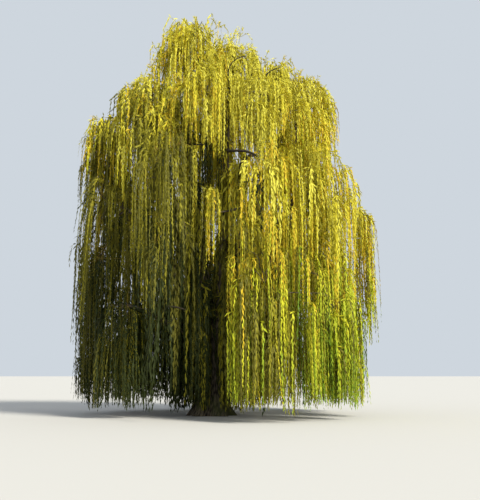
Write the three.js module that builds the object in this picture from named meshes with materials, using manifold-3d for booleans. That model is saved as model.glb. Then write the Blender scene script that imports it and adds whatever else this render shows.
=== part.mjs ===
// A golden weeping willow in early spring, rooted in level ground.
// Millimetres, +Z up. The origin is the middle of the flat cut under the trunk.
// -Y is the side it is seen from, +X its right side, where the curtains reach the grass.
import * as THREE from "three";
import { mergeVertices } from "three/addons/utils/BufferGeometryUtils.js";
import Module from "manifold-3d";

const METRE = 1000;

// Driving dimensions, in metres.
const TREE_HEIGHT = 16.1;
const TRUNK = { height: 3.5, crotch: 0.12, lowRadius: 0.5, topRadius: 0.46, leanX: 0.12, leanY: 0.05 };
const ROOT_FLARE = { reach: 0.34, height: 0.55, lobes: 6, lobeDepth: 0.4 };
const BARK_FLUTES = { count: 5, depth: 0.02 };
const FORK_RADIUS = 0.16;
const BARK = "#4f4231";
const SHOOTS = { sunlit: "#b5a334", olive: "#8d8a2c", fresh: "#8fa02f", shaded: "#4f5a24" };

// How finely the solids are faceted, and the gaps left between neighbours.
const TRUNK_SIDES = 20;
const TRUNK_RINGS = 8;
const LIMB_SIDES = 6;
const LIMB_RINGS = 7;
const MASS_SIDES = 11;
const DOME_RINGS = 2;
const SKIRT_RINGS = 2;
const LIMB_GAP = 0.004;
const MASS_GAP = 0.03;

// Shares and powers that shape the solids. Rings crowd towards the flare; a limb swells into a collar
// at its foot and keeps its girth for a while; a mass is domed, draws in below, and is folded.
const RING_CROWDING = 1.6;
const COLLAR = { swell: 0.35, fade: 12 };
const LIMB_TAPER = 0.8;
const LIMB_TIP = 0.4;
const ARCH = { outward: 0.3, upward: 0.34, along: 0.35, lift: 0.3, late: 0.66 };
const DOME = { height: 1.4, most: 0.45 };
const SKIRT_DRAW = 0.12;
const FOLDS = { broad: 0.06, broadCount: 3, fine: 0.05, fineCount: 5 };
const RAGGED = { share: 0.14, most: 0.75, even: 0.7, under: 0.6 };

// Main boughs. Each one leaves the trunk at height `from`, or leaves the bough named in `on` a share
// `at` of the way along it, and arches up and out to `to`. `rise` lifts the later half of its curve.
const BOUGHS = [
  { name: "leader_bough", from: 3.25, to: [0.6, -0.25, 11.3], foot: 0.27, tip: 0.1, rise: 0 },
  { name: "peak_bough", from: 3.2, to: [-1.15, 0.15, 12.0], foot: 0.25, tip: 0.1, rise: 0.1 },
  { name: "right_bough", from: 3.1, to: [2.7, 0.05, 10.7], foot: 0.23, tip: 0.09, rise: 0.5 },
  { name: "far_right_bough", from: 2.95, to: [4.3, -0.1, 8.4], foot: 0.22, tip: 0.09, rise: 1.1 },
  { name: "right_front_bough", from: 2.8, to: [3.5, -2.4, 8.2], foot: 0.19, tip: 0.08, rise: 1.0 },
  { name: "front_bough", from: 2.95, to: [1.7, -3.1, 8.0], foot: 0.18, tip: 0.08, rise: 0.9 },
  { name: "front_left_bough", from: 2.85, to: [-1.5, -3.0, 8.2], foot: 0.19, tip: 0.08, rise: 0.9 },
  { name: "left_bough", from: 3.0, to: [-3.7, -0.8, 8.1], foot: 0.22, tip: 0.09, rise: 1.0 },
  { name: "left_back_bough", from: 2.85, to: [-3.2, 2.3, 8.2], foot: 0.19, tip: 0.08, rise: 0.9 },
  { name: "back_bough", from: 3.0, to: [-0.9, 3.6, 8.6], foot: 0.21, tip: 0.08, rise: 0.8 },
  { name: "back_right_bough", from: 2.85, to: [1.8, 3.5, 8.4], foot: 0.19, tip: 0.08, rise: 0.9 },
  { name: "right_back_bough", from: 2.95, to: [3.5, 2.3, 8.2], foot: 0.19, tip: 0.08, rise: 0.9 },
  { name: "low_left_bough", from: 2.5, to: [-3.1, -1.6, 4.0], foot: 0.13, tip: 0.06, rise: 0.3 },
  { name: "mid_bough", on: "leader_bough", at: 0.62, to: [1.5, -2.9, 9.2], foot: 0.12, tip: 0.07, rise: 0.5 },
];

// Masses of foliage, each a domed cascade: its middle, the height of its crown and of its hem, and its
// half sizes away from the trunk (`deep`) and round it (`wide`). `fall` is how steeply the crown slopes
// outwards. A mass gives way to those above it in this list.
const MASSES = [
  { name: "peak", x: -1.15, y: 0.2, top: TREE_HEIGHT, hem: 11.4, deep: 1.4, wide: 1.35, fall: 0 },
  { name: "second_peak", x: 0.9, y: -0.2, top: 15.15, hem: 10.7, deep: 1.4, wide: 1.35, fall: 0.1 },
  { name: "right_upper", x: 2.7, y: 0.0, top: 14.3, hem: 10.0, deep: 1.35, wide: 1.6, fall: 0.25 },
  { name: "right_shoulder", x: 4.05, y: 0.1, top: 13.55, hem: 10.6, deep: 0.92, wide: 1.45, fall: 0.35 },
  { name: "left_upper", x: -2.75, y: 0.2, top: 14.1, hem: 9.5, deep: 1.45, wide: 1.6, fall: 0.4 },
  { name: "left_shoulder", x: -4.1, y: 0.3, top: 12.5, hem: 7.6, deep: 1.1, wide: 1.7, fall: 0.5 },
  { name: "front_upper", x: -0.3, y: -2.1, top: 13.6, hem: 9.5, deep: 1.25, wide: 1.5, fall: 0.3 },
  { name: "front_upper_right", x: 1.9, y: -2.0, top: 13.4, hem: 9.6, deep: 1.3, wide: 1.5, fall: 0.35 },
  { name: "front_right_shoulder", x: 3.5, y: -1.7, top: 12.4, hem: 8.3, deep: 1.1, wide: 1.5, fall: 0.45 },
  { name: "front_upper_left", x: -2.5, y: -1.9, top: 12.9, hem: 8.2, deep: 1.3, wide: 1.5, fall: 0.4 },
  { name: "back_upper_left", x: -1.8, y: 2.3, top: 14.3, hem: 9.1, deep: 1.5, wide: 1.6, fall: 0.4 },
  { name: "back_upper", x: 0.6, y: 2.5, top: 14.5, hem: 9.1, deep: 1.5, wide: 1.45, fall: 0.4 },
  { name: "back_upper_right", x: 2.9, y: 2.2, top: 13.4, hem: 8.7, deep: 1.45, wide: 1.6, fall: 0.45 },
  { name: "front_left_cascade", x: -1.55, y: -3.55, top: 10.9, hem: 3.9, deep: 1.2, wide: 1.15, fall: 0.5 },
  { name: "front_low_cascade", x: 0.15, y: -3.9, top: 8.2, hem: 4.7, deep: 0.8, wide: 0.85, fall: 0.3 },
  { name: "front_right_cascade", x: 2.05, y: -3.6, top: 10.2, hem: 4.2, deep: 1.15, wide: 1.4, fall: 0.5 },
  { name: "right_front_cascade", x: 3.85, y: -2.75, top: 10.3, hem: 4.2, deep: 1.3, wide: 1.35, fall: 0.5 },
  { name: "right_cascade", x: 4.55, y: -0.2, top: 10.7, hem: 4.4, deep: 1.4, wide: 1.8, fall: 0.65 },
  { name: "right_back_cascade", x: 4.0, y: 2.7, top: 10.5, hem: 3.9, deep: 1.35, wide: 1.7, fall: 0.6 },
  { name: "back_right_cascade", x: 1.9, y: 4.0, top: 10.8, hem: 3.7, deep: 1.35, wide: 1.6, fall: 0.6 },
  { name: "back_cascade", x: -1.2, y: 4.1, top: 11.0, hem: 3.8, deep: 1.35, wide: 1.7, fall: 0.6 },
  { name: "left_back_cascade", x: -3.7, y: 2.6, top: 10.7, hem: 3.6, deep: 1.35, wide: 1.8, fall: 0.6 },
  { name: "left_cascade", x: -3.95, y: -0.9, top: 10.0, hem: 3.1, deep: 1.25, wide: 1.6, fall: 0.55 },
  { name: "front_right_curtain", x: 1.9, y: -4.35, top: 6.3, hem: 0.3, deep: 0.85, wide: 1.35, fall: 0.3 },
  { name: "right_front_curtain", x: 4.05, y: -3.1, top: 6.2, hem: 0.3, deep: 0.9, wide: 1.4, fall: 0.3 },
  { name: "right_curtain", x: 5.1, y: -0.5, top: 6.2, hem: 0.3, deep: 0.72, wide: 1.7, fall: 0.3 },
  { name: "far_right_curtain", x: 6.1, y: 0.35, top: 8.2, hem: 3.0, deep: 0.42, wide: 1.0, fall: 0.6 },
  { name: "right_back_curtain", x: 4.6, y: 2.7, top: 6.0, hem: 0.35, deep: 0.85, wide: 1.6, fall: 0.3 },
  { name: "back_right_curtain", x: 2.4, y: 4.5, top: 5.8, hem: 0.35, deep: 0.85, wide: 1.5, fall: 0.3 },
  { name: "back_curtain", x: -0.6, y: 4.9, top: 6.0, hem: 0.35, deep: 0.85, wide: 1.55, fall: 0.3 },
  { name: "back_left_curtain", x: -3.2, y: 3.9, top: 5.8, hem: 0.35, deep: 0.85, wide: 1.5, fall: 0.3 },
  { name: "left_curtain", x: -4.7, y: 1.4, top: 5.6, hem: 0.35, deep: 0.75, wide: 1.6, fall: 0.3 },
  { name: "low_left_curtain", x: -3.45, y: -1.8, top: 4.9, hem: 0.35, deep: 0.7, wide: 1.0, fall: 0.2 },
];

const wasm = await Module();
wasm.setup();

// A repeatable run of numbers from 0 to 1, so that each mass is uneven in its own way.
function randomFrom(seed) {
  let state = seed >>> 0;
  return () => {
    state = (Math.imul(state, 1664525) + 1013904223) >>> 0;
    return state / 4294967296;
  };
}

// Closes a stack of rings of equal size with a point before the first and one after the last.
function closedStack(rings, firstPole, lastPole) {
  const sides = rings[0].length;
  const points = [firstPole, ...rings.flat(), lastPole];
  const at = (ring, side) => 1 + ring * sides + (side % sides);
  const index = [];
  for (let side = 0; side < sides; side++) {
    index.push(0, at(0, side + 1), at(0, side));
    index.push(points.length - 1, at(rings.length - 1, side), at(rings.length - 1, side + 1));
    for (let ring = 0; ring + 1 < rings.length; ring++) {
      index.push(at(ring, side), at(ring, side + 1), at(ring + 1, side + 1));
      index.push(at(ring, side), at(ring + 1, side + 1), at(ring + 1, side));
    }
  }
  const geometry = new THREE.BufferGeometry();
  const flat = points.flatMap((p) => [p.x * METRE, p.y * METRE, p.z * METRE]);
  geometry.setAttribute("position", new THREE.Float32BufferAttribute(flat, 3));
  geometry.setIndex(index);
  return geometry;
}

function toSolid(geometry) {
  const vertProperties = geometry.attributes.position.array;
  const triVerts = new Uint32Array(geometry.index.array);
  return new wasm.Manifold(new wasm.Mesh({ numProp: 3, vertProperties, triVerts }));
}

// The separate pieces of a cut mesh, each with its volume, its lowest height and its triangles.
function piecesOf(mesh) {
  const leader = Array.from({ length: mesh.vertProperties.length / 3 }, (_, k) => k);
  const find = (k) => {
    while (leader[k] !== k) k = leader[k];
    return k;
  };
  for (let k = 0; k < mesh.triVerts.length; k += 3) {
    leader[find(mesh.triVerts[k])] = find(mesh.triVerts[k + 1]);
    leader[find(mesh.triVerts[k + 1])] = find(mesh.triVerts[k + 2]);
  }
  const corner = (k) => new THREE.Vector3().fromArray(mesh.vertProperties, 3 * k);
  const pieces = new Map();
  for (let k = 0; k < mesh.triVerts.length; k += 3) {
    const triangle = [...mesh.triVerts.subarray(k, k + 3)];
    const key = find(triangle[0]);
    const piece = pieces.get(key) ?? { volume: 0, lowest: Infinity, triangles: [] };
    const [a, b, c] = triangle.map(corner);
    piece.lowest = Math.min(piece.lowest, a.z, b.z, c.z);
    piece.volume += a.dot(b.cross(c)) / 6;
    piece.triangles.push(...triangle);
    pieces.set(key, piece);
  }
  return [...pieces.values()];
}

// Cuts the `grown` shapes of its neighbours from a solid, and keeps the one piece with the best score.
function cutAndKeep(geometry, neighbours, score) {
  let solid = toSolid(geometry);
  for (const neighbour of neighbours) {
    solid = solid.subtract(neighbour);
  }
  const mesh = solid.getMesh();
  const kept = piecesOf(mesh).reduce((best, piece) => (score(piece) > score(best) ? piece : best));
  const whole = new THREE.BufferGeometry();
  whole.setAttribute("position", new THREE.Float32BufferAttribute(mesh.vertProperties, 3));
  whole.setIndex(kept.triangles);
  return mergeVertices(whole.toNonIndexed(), 1e-4);
}

// The trunk: a flat cut at the ground, lobes of root flare, then a slow taper to the fork.
function trunkGeometry(grow) {
  const rings = [];
  for (let k = 0; k < TRUNK_RINGS; k++) {
    const share = (k / (TRUNK_RINGS - 1)) ** RING_CROWDING;
    const z = share * TRUNK.height;
    const flare = ROOT_FLARE.reach * Math.exp(-z / ROOT_FLARE.height);
    const radius = THREE.MathUtils.lerp(TRUNK.lowRadius, TRUNK.topRadius, share);
    const ring = [];
    for (let side = 0; side < TRUNK_SIDES; side++) {
      const angle = (side / TRUNK_SIDES) * 2 * Math.PI;
      const lobe = Math.cos(ROOT_FLARE.lobes * angle + Math.sin(2 * angle));
      const flute = BARK_FLUTES.depth * Math.cos(BARK_FLUTES.count * angle + z);
      const r = radius + flare * (1 + ROOT_FLARE.lobeDepth * lobe) + flute + grow;
      const x = TRUNK.leanX * share + r * Math.cos(angle);
      const y = TRUNK.leanY * share + r * Math.sin(angle);
      ring.push(new THREE.Vector3(x, y, z));
    }
    rings.push(ring);
  }
  const foot = new THREE.Vector3(0, 0, 0);
  const fork = new THREE.Vector3(TRUNK.leanX, TRUNK.leanY, TRUNK.height + TRUNK.crotch + grow);
  return closedStack(rings, foot, fork);
}

// A bough's course: steep at first, then arching over towards its tip.
function boughCurve(bough) {
  const tip = new THREE.Vector3(...bough.to);
  const foot = new THREE.Vector3();
  const heading = new THREE.Vector3();
  if (bough.on) {
    const parent = boughCurve(BOUGHS.find((other) => other.name === bough.on));
    foot.copy(parent.getPoint(bough.at));
    heading.subVectors(tip, foot).multiplyScalar(ARCH.along);
    heading.z += ARCH.lift;
  } else {
    const share = bough.from / TRUNK.height;
    foot.set(tip.x, tip.y, 0).normalize().multiplyScalar(FORK_RADIUS);
    foot.add(new THREE.Vector3(TRUNK.leanX * share, TRUNK.leanY * share, bough.from));
    heading.set(tip.x * ARCH.outward, tip.y * ARCH.outward, (tip.z - foot.z) * ARCH.upward);
  }
  const early = foot.clone().add(heading);
  const late = foot.clone().lerp(tip, ARCH.late);
  late.z += bough.rise;
  return new THREE.CubicBezierCurve3(foot, early, late, tip);
}

// One limb along its curve, tapering from a collar at the foot.
function boughGeometry(bough, grow) {
  const curve = boughCurve(bough);
  const frames = curve.computeFrenetFrames(LIMB_RINGS - 1, false);
  const rings = [];
  for (let k = 0; k < LIMB_RINGS; k++) {
    const share = k / (LIMB_RINGS - 1);
    const centre = curve.getPointAt(share);
    const collar = 1 + COLLAR.swell * Math.exp(-share * COLLAR.fade);
    const radius = THREE.MathUtils.lerp(bough.foot, bough.tip, share ** LIMB_TAPER) * collar + grow;
    const ring = [];
    for (let side = 0; side < LIMB_SIDES; side++) {
      const angle = (side / LIMB_SIDES) * 2 * Math.PI;
      const point = centre.clone();
      point.addScaledVector(frames.normals[k], Math.cos(angle) * radius);
      point.addScaledVector(frames.binormals[k], Math.sin(angle) * radius);
      ring.push(point);
    }
    rings.push(ring);
  }
  const footPole = curve.getPointAt(0).addScaledVector(frames.tangents[0], -grow);
  const tipPole = curve.getPointAt(1).addScaledVector(frames.tangents.at(-1), bough.tip * LIMB_TIP + grow);
  return closedStack(rings, footPole, tipPole);
}

// One mass: a dome over a hanging skirt. Over the dome a ring's size follows a quarter circle; below
// it the skirt draws in a little. Waves round the rings make folds, and the hem hangs raggedly.
function massGeometry(mass, order, grow) {
  const random = randomFrom(97 + order * 131);
  const phase = Array.from({ length: 3 }, () => random() * 2 * Math.PI);
  const ragged = Array.from({ length: MASS_SIDES }, () => random());
  const outward = Math.atan2(mass.y, mass.x);
  const drop = mass.top - mass.hem;
  const domeShare = Math.min(DOME.most, (DOME.height * Math.min(mass.deep, mass.wide)) / drop);
  const shagginess = Math.min(RAGGED.most, RAGGED.share * drop);
  const levels = [];
  for (let k = 1; k <= DOME_RINGS; k++) {
    const lift = (k / (DOME_RINGS + 1)) * (Math.PI / 2);
    levels.push({ down: domeShare * (1 - Math.cos(lift)), out: Math.sin(lift) });
  }
  for (let k = 0; k <= SKIRT_RINGS; k++) {
    const share = k / SKIRT_RINGS;
    levels.push({ down: THREE.MathUtils.lerp(domeShare, 1, share), out: 1 - SKIRT_DRAW * share * share });
  }
  const pointAt = (down, out, side) => {
    const angle = (side / MASS_SIDES) * 2 * Math.PI;
    const broad = FOLDS.broad * Math.cos(FOLDS.broadCount * angle + phase[0] + 2 * down);
    const folds = broad + FOLDS.fine * Math.cos(FOLDS.fineCount * angle + phase[1]);
    const away = (mass.deep * out * (1 + folds) + grow) * Math.cos(angle);
    const round = (mass.wide * out * (1 + folds) + grow) * Math.sin(angle);
    const slope = (mass.fall * (away + mass.deep)) / 2;
    const swing = RAGGED.even + (1 - RAGGED.even) * Math.cos(2 * angle + phase[2]);
    const hem = mass.hem - grow + shagginess * ragged[side] * swing;
    const x = mass.x + away * Math.cos(outward) - round * Math.sin(outward);
    const y = mass.y + away * Math.sin(outward) + round * Math.cos(outward);
    return new THREE.Vector3(x, y, THREE.MathUtils.lerp(mass.top + grow - slope, hem, down));
  };
  const sides = Array.from({ length: MASS_SIDES }, (_, side) => side);
  const rings = levels.map(({ down, out }) => sides.map((side) => pointAt(down, out, side))).reverse();
  const under = new THREE.Vector3(mass.x, mass.y, mass.hem - grow + RAGGED.under * shagginess);
  const crest = new THREE.Vector3(mass.x, mass.y, mass.top + grow - (mass.fall * mass.deep) / 2);
  return closedStack(rings, under, crest);
}

// The colour that a mass shows: yellow high up in front, fresher green low down, dark behind.
function massColour(mass) {
  if (mass.y > 2) return SHOOTS.shaded;
  if (mass.hem < 1) return SHOOTS.fresh;
  return mass.x < -1.5 ? SHOOTS.olive : SHOOTS.sunlit;
}

function namedMesh(name, geometry, color) {
  geometry.computeVertexNormals();
  const material = new THREE.MeshStandardMaterial({ color, roughness: 0.9, metalness: 0 });
  const mesh = new THREE.Mesh(geometry, material);
  mesh.name = name;
  return mesh;
}

const willow = new THREE.Group();

const grownMasses = MASSES.map((mass, order) => toSolid(massGeometry(mass, order, MASS_GAP)));
MASSES.forEach((mass, order) => {
  const above = grownMasses.slice(0, order);
  const geometry = cutAndKeep(massGeometry(mass, order, 0), above, (piece) => piece.volume);
  willow.add(namedMesh(`${mass.name}_foliage`, geometry, massColour(mass)));
});

// A bough ends where it enters a mass. It gives way to the trunk and to the boughs above it in its list.
const grownLimbs = [toSolid(trunkGeometry(LIMB_GAP))];
willow.add(namedMesh("trunk", trunkGeometry(0), BARK));
for (const bough of BOUGHS) {
  const neighbours = [...grownLimbs, ...grownMasses];
  const geometry = cutAndKeep(boughGeometry(bough, 0), neighbours, (piece) => -piece.lowest);
  grownLimbs.push(toSolid(boughGeometry(bough, LIMB_GAP)));
  willow.add(namedMesh(bough.name, geometry, BARK));
}

export default willow;
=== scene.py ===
"""A golden weeping willow in early spring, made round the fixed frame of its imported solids.

The trunk and boughs get furrowed bark. Inside each mass of foliage an arm grows on from the nearest
limb, branches spread from the arm, a twig runs to each lock, and shoots hang from the twig, set with
leaves and catkins. Metres, +Z up, seen from -Y.
"""

import math

import bpy
import numpy as np
from bpy.props import FloatProperty, FloatVectorProperty, IntProperty, PointerProperty
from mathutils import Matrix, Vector
from mathutils.bvhtree import BVHTree


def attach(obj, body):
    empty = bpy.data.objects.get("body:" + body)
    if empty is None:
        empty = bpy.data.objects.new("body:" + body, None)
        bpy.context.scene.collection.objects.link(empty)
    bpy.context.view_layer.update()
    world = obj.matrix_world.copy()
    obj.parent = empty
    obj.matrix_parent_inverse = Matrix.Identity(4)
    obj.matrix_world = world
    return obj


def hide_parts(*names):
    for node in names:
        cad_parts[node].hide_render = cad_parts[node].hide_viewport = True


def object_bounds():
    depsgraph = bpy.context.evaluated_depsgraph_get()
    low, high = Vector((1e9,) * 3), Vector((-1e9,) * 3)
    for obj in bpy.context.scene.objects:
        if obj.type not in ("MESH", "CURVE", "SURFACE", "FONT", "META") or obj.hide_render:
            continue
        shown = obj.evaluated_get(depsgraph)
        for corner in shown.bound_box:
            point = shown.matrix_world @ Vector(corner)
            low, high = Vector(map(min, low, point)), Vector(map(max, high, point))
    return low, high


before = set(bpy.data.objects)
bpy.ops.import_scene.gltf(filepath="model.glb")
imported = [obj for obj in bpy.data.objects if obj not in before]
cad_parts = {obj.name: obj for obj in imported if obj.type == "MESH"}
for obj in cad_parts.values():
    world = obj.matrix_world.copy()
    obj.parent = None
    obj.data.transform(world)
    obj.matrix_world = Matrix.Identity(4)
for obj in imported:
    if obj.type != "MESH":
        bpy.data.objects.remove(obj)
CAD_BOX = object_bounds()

bl_info = {
    "name": "Golden Weeping Willow",
    "version": (1, 0, 0),
    "blender": (4, 5, 0),
    "location": "3D View > Sidebar > Willow",
    "description": "Bark, branches, hanging shoots, leaves and catkins for a weeping willow",
    "category": "Add Mesh",
}

BODY = "root"
FOLIAGE = sorted(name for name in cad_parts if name.endswith("_foliage"))
BOUGHS = sorted(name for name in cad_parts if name.endswith("_bough"))

GOLDEN_ANGLE = math.radians(137.5)
DOWN = np.array([0.0, 0.0, -1.0])
UP = np.array([0.0, 0.0, 1.0])

# A lock is a bundle of shoots, kept as a row of numbers: its mass, its foot, the heights where it
# starts and ends, its level outward direction, how far it arches out, and its kind
MASS, FOOT_X, FOOT_Y, START, END, OUT_X, OUT_Y, REACH, KIND = range(9)
OUTER, FILLING, INNER = 0, 0.5, 1


def srgb(red, green, blue):
    """A colour given as three numbers up to 255, in the linear light that shaders work in."""
    parts = np.array([red, green, blue]) / 255
    return tuple(np.where(parts <= 0.04045, parts / 12.92, ((parts + 0.055) / 1.055) ** 2.4))


class WillowBark(bpy.types.PropertyGroup):
    """The trunk's own form and its furrows."""

    fork_height: FloatProperty(
        name="Fork height", description="Where the trunk divides", default=3.5, unit="LENGTH")
    low_radius: FloatProperty(
        name="Low radius", description="The trunk above its flare", default=0.5, unit="LENGTH")
    top_radius: FloatProperty(
        name="Top radius", description="The trunk at its fork", default=0.46, unit="LENGTH")
    flare_reach: FloatProperty(
        name="Flare reach", description="How far the roots spread it", default=0.34, unit="LENGTH")
    flare_height: FloatProperty(
        name="Flare height", description="How fast the flare fades", default=0.55, unit="LENGTH")
    furrow_depth: FloatProperty(
        name="Furrow depth", description="From plate to furrow", default=0.032, unit="LENGTH")
    plate_width: FloatProperty(
        name="Plate width", description="Across one bark plate", default=0.066, unit="LENGTH")
    plate_length: FloatProperty(
        name="Plate length", description="Along one bark plate", default=0.52, unit="LENGTH")
    ridge_colour: FloatVectorProperty(
        name="Ridge", description="Weathered plate", subtype="COLOR", default=srgb(108, 98, 79))
    furrow_colour: FloatVectorProperty(
        name="Furrow", description="Deep in the bark", subtype="COLOR", default=srgb(38, 31, 23))
    algae_colour: FloatVectorProperty(
        name="Algae", description="Green film low down", subtype="COLOR", default=srgb(80, 84, 42))
    twig_colour: FloatVectorProperty(
        name="Twig", description="Young yellow bark", subtype="COLOR", default=srgb(168, 140, 52))


class WillowShoots(bpy.types.PropertyGroup):
    """How many shoots hang, and how."""

    seed: IntProperty(name="Seed", description="Another number grows another crown", default=11)
    locks: IntProperty(name="Locks", description="Bundles of shoots in the crown", default=880)
    filling_locks: IntProperty(name="Filling locks", description="Added where it is thin", default=568)
    inner_locks: IntProperty(name="Inner locks", description="Bundles inside the crown", default=640)
    shoots_per_lock: IntProperty(name="Shoots per lock", description="On average", default=7)
    lock_spread: FloatProperty(
        name="Lock spread", description="Half width of a lock", default=0.17, unit="LENGTH")
    shoot_radius: FloatProperty(
        name="Shoot radius", description="At the top of a shoot", default=0.005, unit="LENGTH")
    upper_tier: FloatProperty(
        name="Upper tier", description="Shoots from above here are a piece of their own",
        default=8.5, unit="LENGTH")
    plumes_above: FloatProperty(
        name="Plumes above", description="Shoots rise before they arch above here",
        default=11.4, unit="LENGTH")
    shortest: FloatProperty(
        name="Shortest", description="Shortest lock", default=1.3, unit="LENGTH")
    longest_high: FloatProperty(
        name="Longest, crown", description="Longest lock up in the crown", default=3.6, unit="LENGTH")
    longest_low: FloatProperty(
        name="Longest, curtains", description="Longest lock lower down", default=5.2, unit="LENGTH")


class WillowLeaves(bpy.types.PropertyGroup):
    """The young leaves and the catkins."""

    length: FloatProperty(name="Length", description="A full leaf", default=0.17, unit="LENGTH")
    slimness: FloatProperty(name="Slimness", description="Width as a share of length", default=0.25)
    spacing: FloatProperty(
        name="Spacing", description="From leaf to leaf along a shoot", default=0.066, unit="LENGTH")
    twist: FloatProperty(
        name="Twist", description="How unevenly leaves face outwards", default=0.3, subtype="ANGLE")
    inner_growth: FloatProperty(
        name="Inner growth", description="How much longer leaves are inside the crown", default=1.1)
    fold: FloatProperty(name="Fold", description="How far the blade folds up", default=0.25)
    catkin_length: FloatProperty(
        name="Catkin length", description="A catkin", default=0.05, unit="LENGTH")
    catkin_spacing: FloatProperty(
        name="Catkin spacing", description="Along a shoot's upper part", default=18.0, unit="LENGTH")


class WillowColours(bpy.types.PropertyGroup):
    """The leaf colours that are dealt out spray by spray, from gold to green and on to dull olive; the dull
    olives are also dealt out as painted shade.
    """

    straw: FloatVectorProperty(
        name="Straw", description="Palest gold", subtype="COLOR", default=srgb(213, 205, 72))
    gold: FloatVectorProperty(
        name="Gold", description="Sunny gold", subtype="COLOR", default=srgb(203, 191, 44))
    amber: FloatVectorProperty(
        name="Amber", description="Orange gold", subtype="COLOR", default=srgb(204, 176, 38))
    yellow: FloatVectorProperty(
        name="Yellow", description="Clear yellow", subtype="COLOR", default=srgb(196, 194, 42))
    yellow_green: FloatVectorProperty(
        name="Yellow green", description="Young leaf", subtype="COLOR", default=srgb(172, 180, 38))
    lime: FloatVectorProperty(
        name="Lime", description="Open leaf", subtype="COLOR", default=srgb(146, 166, 38))
    fresh_green: FloatVectorProperty(
        name="Fresh green", description="Fullest leaf", subtype="COLOR", default=srgb(112, 144, 38))
    olive_gold: FloatVectorProperty(
        name="Olive gold", description="Dull spray", subtype="COLOR", default=srgb(140, 134, 32))
    olive: FloatVectorProperty(
        name="Olive", description="Duller spray", subtype="COLOR", default=srgb(98, 95, 27))
    # Painted shade: the darkest olive, dealt out inside the crown, low at the left and behind the hollow
    deep_olive: FloatVectorProperty(
        name="Deep olive", description="Spray inside the crown", subtype="COLOR", default=srgb(46, 54, 16))
    catkin: FloatVectorProperty(
        name="Catkin", description="Catkin in flower", subtype="COLOR", default=srgb(222, 214, 104))


class WillowStage(bpy.types.PropertyGroup):
    """The floor, the light and the camera."""

    eye_height: FloatProperty(
        name="Eye height", description="The camera above the ground", default=1.6, unit="LENGTH")
    distance: FloatProperty(
        name="Distance", description="From the camera to the trunk", default=29.0, unit="LENGTH")
    sideways: FloatProperty(
        name="Sideways", description="The camera right of the trunk", default=1.08, unit="LENGTH")
    lens: FloatProperty(name="Lens", description="Focal length in millimetres", default=54.72)
    tilt: FloatProperty(
        name="Tilt", description="Camera tilted up", default=math.radians(9.12), subtype="ANGLE")
    key_strength: FloatProperty(name="Key", description="Strength of the main light", default=4.72)
    fill_strength: FloatProperty(name="Fill", description="Strength of the surroundings", default=0.76)
    floor_colour: FloatVectorProperty(
        name="Floor", description="Pale floor", subtype="COLOR", default=srgb(200, 198, 192))


# Arrays and small geometry


def unit(vectors):
    """Each vector at length 1."""
    return vectors / np.maximum(np.linalg.norm(vectors, axis=-1, keepdims=True), 1e-9)


def smooth_step(low, high, value):
    """0 below `low`, 1 above `high`, and an S curve between them."""
    share = np.clip((value - low) / (high - low), 0, 1)
    return share * share * (3 - 2 * share)


def node_mesh(name):
    """A solid's corners and triangles, as arrays in metres."""
    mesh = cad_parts[name].data
    corners = np.empty(3 * len(mesh.vertices))
    mesh.vertices.foreach_get("co", corners)
    mesh.calc_loop_triangles()
    triangles = np.empty(3 * len(mesh.loop_triangles), np.int32)
    mesh.loop_triangles.foreach_get("vertices", triangles)
    return corners.reshape(-1, 3), triangles.reshape(-1, 3)


def bezier(start, early, late, end, steps):
    """Points of many cubic curves at once, at even steps of the curve's own parameter."""
    t = np.linspace(0, 1, steps)[None, :, None]
    parts = [(1 - t) ** 3, 3 * t * (1 - t) ** 2, 3 * t * t * (1 - t), t**3]
    ends = (start, early, late, end)
    return sum(part * np.atleast_2d(point)[:, None, :] for part, point in zip(parts, ends))


def tube_mesh(paths, radii, sides):
    """Closed tubes along many paths at once.

    Round each point of a path lies a ring of corners at that point's radius, square to the path, and
    the ring is carried on without twisting. The first ring is closed flat; the last point is a tip.
    """
    count, points, _ = paths.shape
    tangents = unit(np.gradient(paths, axis=1))
    across = np.empty_like(paths)
    steep = np.abs(tangents[:, 0, 2:]) > 0.9
    across[:, 0] = unit(np.cross(tangents[:, 0], np.where(steep, [1.0, 0, 0], UP)))
    for k in range(1, points):
        carried = across[:, k - 1]
        along = (carried * tangents[:, k]).sum(-1, keepdims=True) * tangents[:, k]
        across[:, k] = unit(carried - along)
    upright = np.cross(tangents, across)
    angle = 2 * np.pi * np.arange(sides) / sides
    ring = np.cos(angle)[:, None] * across[:, :-1, None] + np.sin(angle)[:, None] * upright[:, :-1, None]
    rings = paths[:, :-1, None] + radii[:, :-1, None, None] * ring
    corners = np.concatenate([rings.reshape(count, -1, 3), paths[:, :1], paths[:, -1:]], 1)
    ring_count = points - 1
    first_pole = ring_count * sides
    side = np.arange(sides)
    beside = (side + 1) % sides
    low = np.arange(ring_count - 1)[:, None] * sides
    a, b, c, d = low + side, low + beside, low + sides + beside, low + sides + side
    last = (ring_count - 1) * sides
    poles = np.full(sides, first_pole)
    faces = np.concatenate([
        np.stack([a, b, c], -1).reshape(-1, 3),
        np.stack([a, c, d], -1).reshape(-1, 3),
        np.stack([poles, beside, side], -1),
        np.stack([poles + 1, last + side, last + beside], -1),
    ])
    step = corners.shape[1]
    faces = (faces[None] + step * np.arange(count)[:, None, None]).reshape(-1, 3)
    return corners.reshape(-1, 3), faces


def joined(meshes):
    """Several meshes as one: corners and faces, with the faces' numbers moved on."""
    corners = np.concatenate([m[0] for m in meshes])
    starts = np.cumsum([0] + [len(m[0]) for m in meshes[:-1]])
    faces = np.concatenate([m[1] + start for m, start in zip(meshes, starts)])
    return corners, faces


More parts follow.
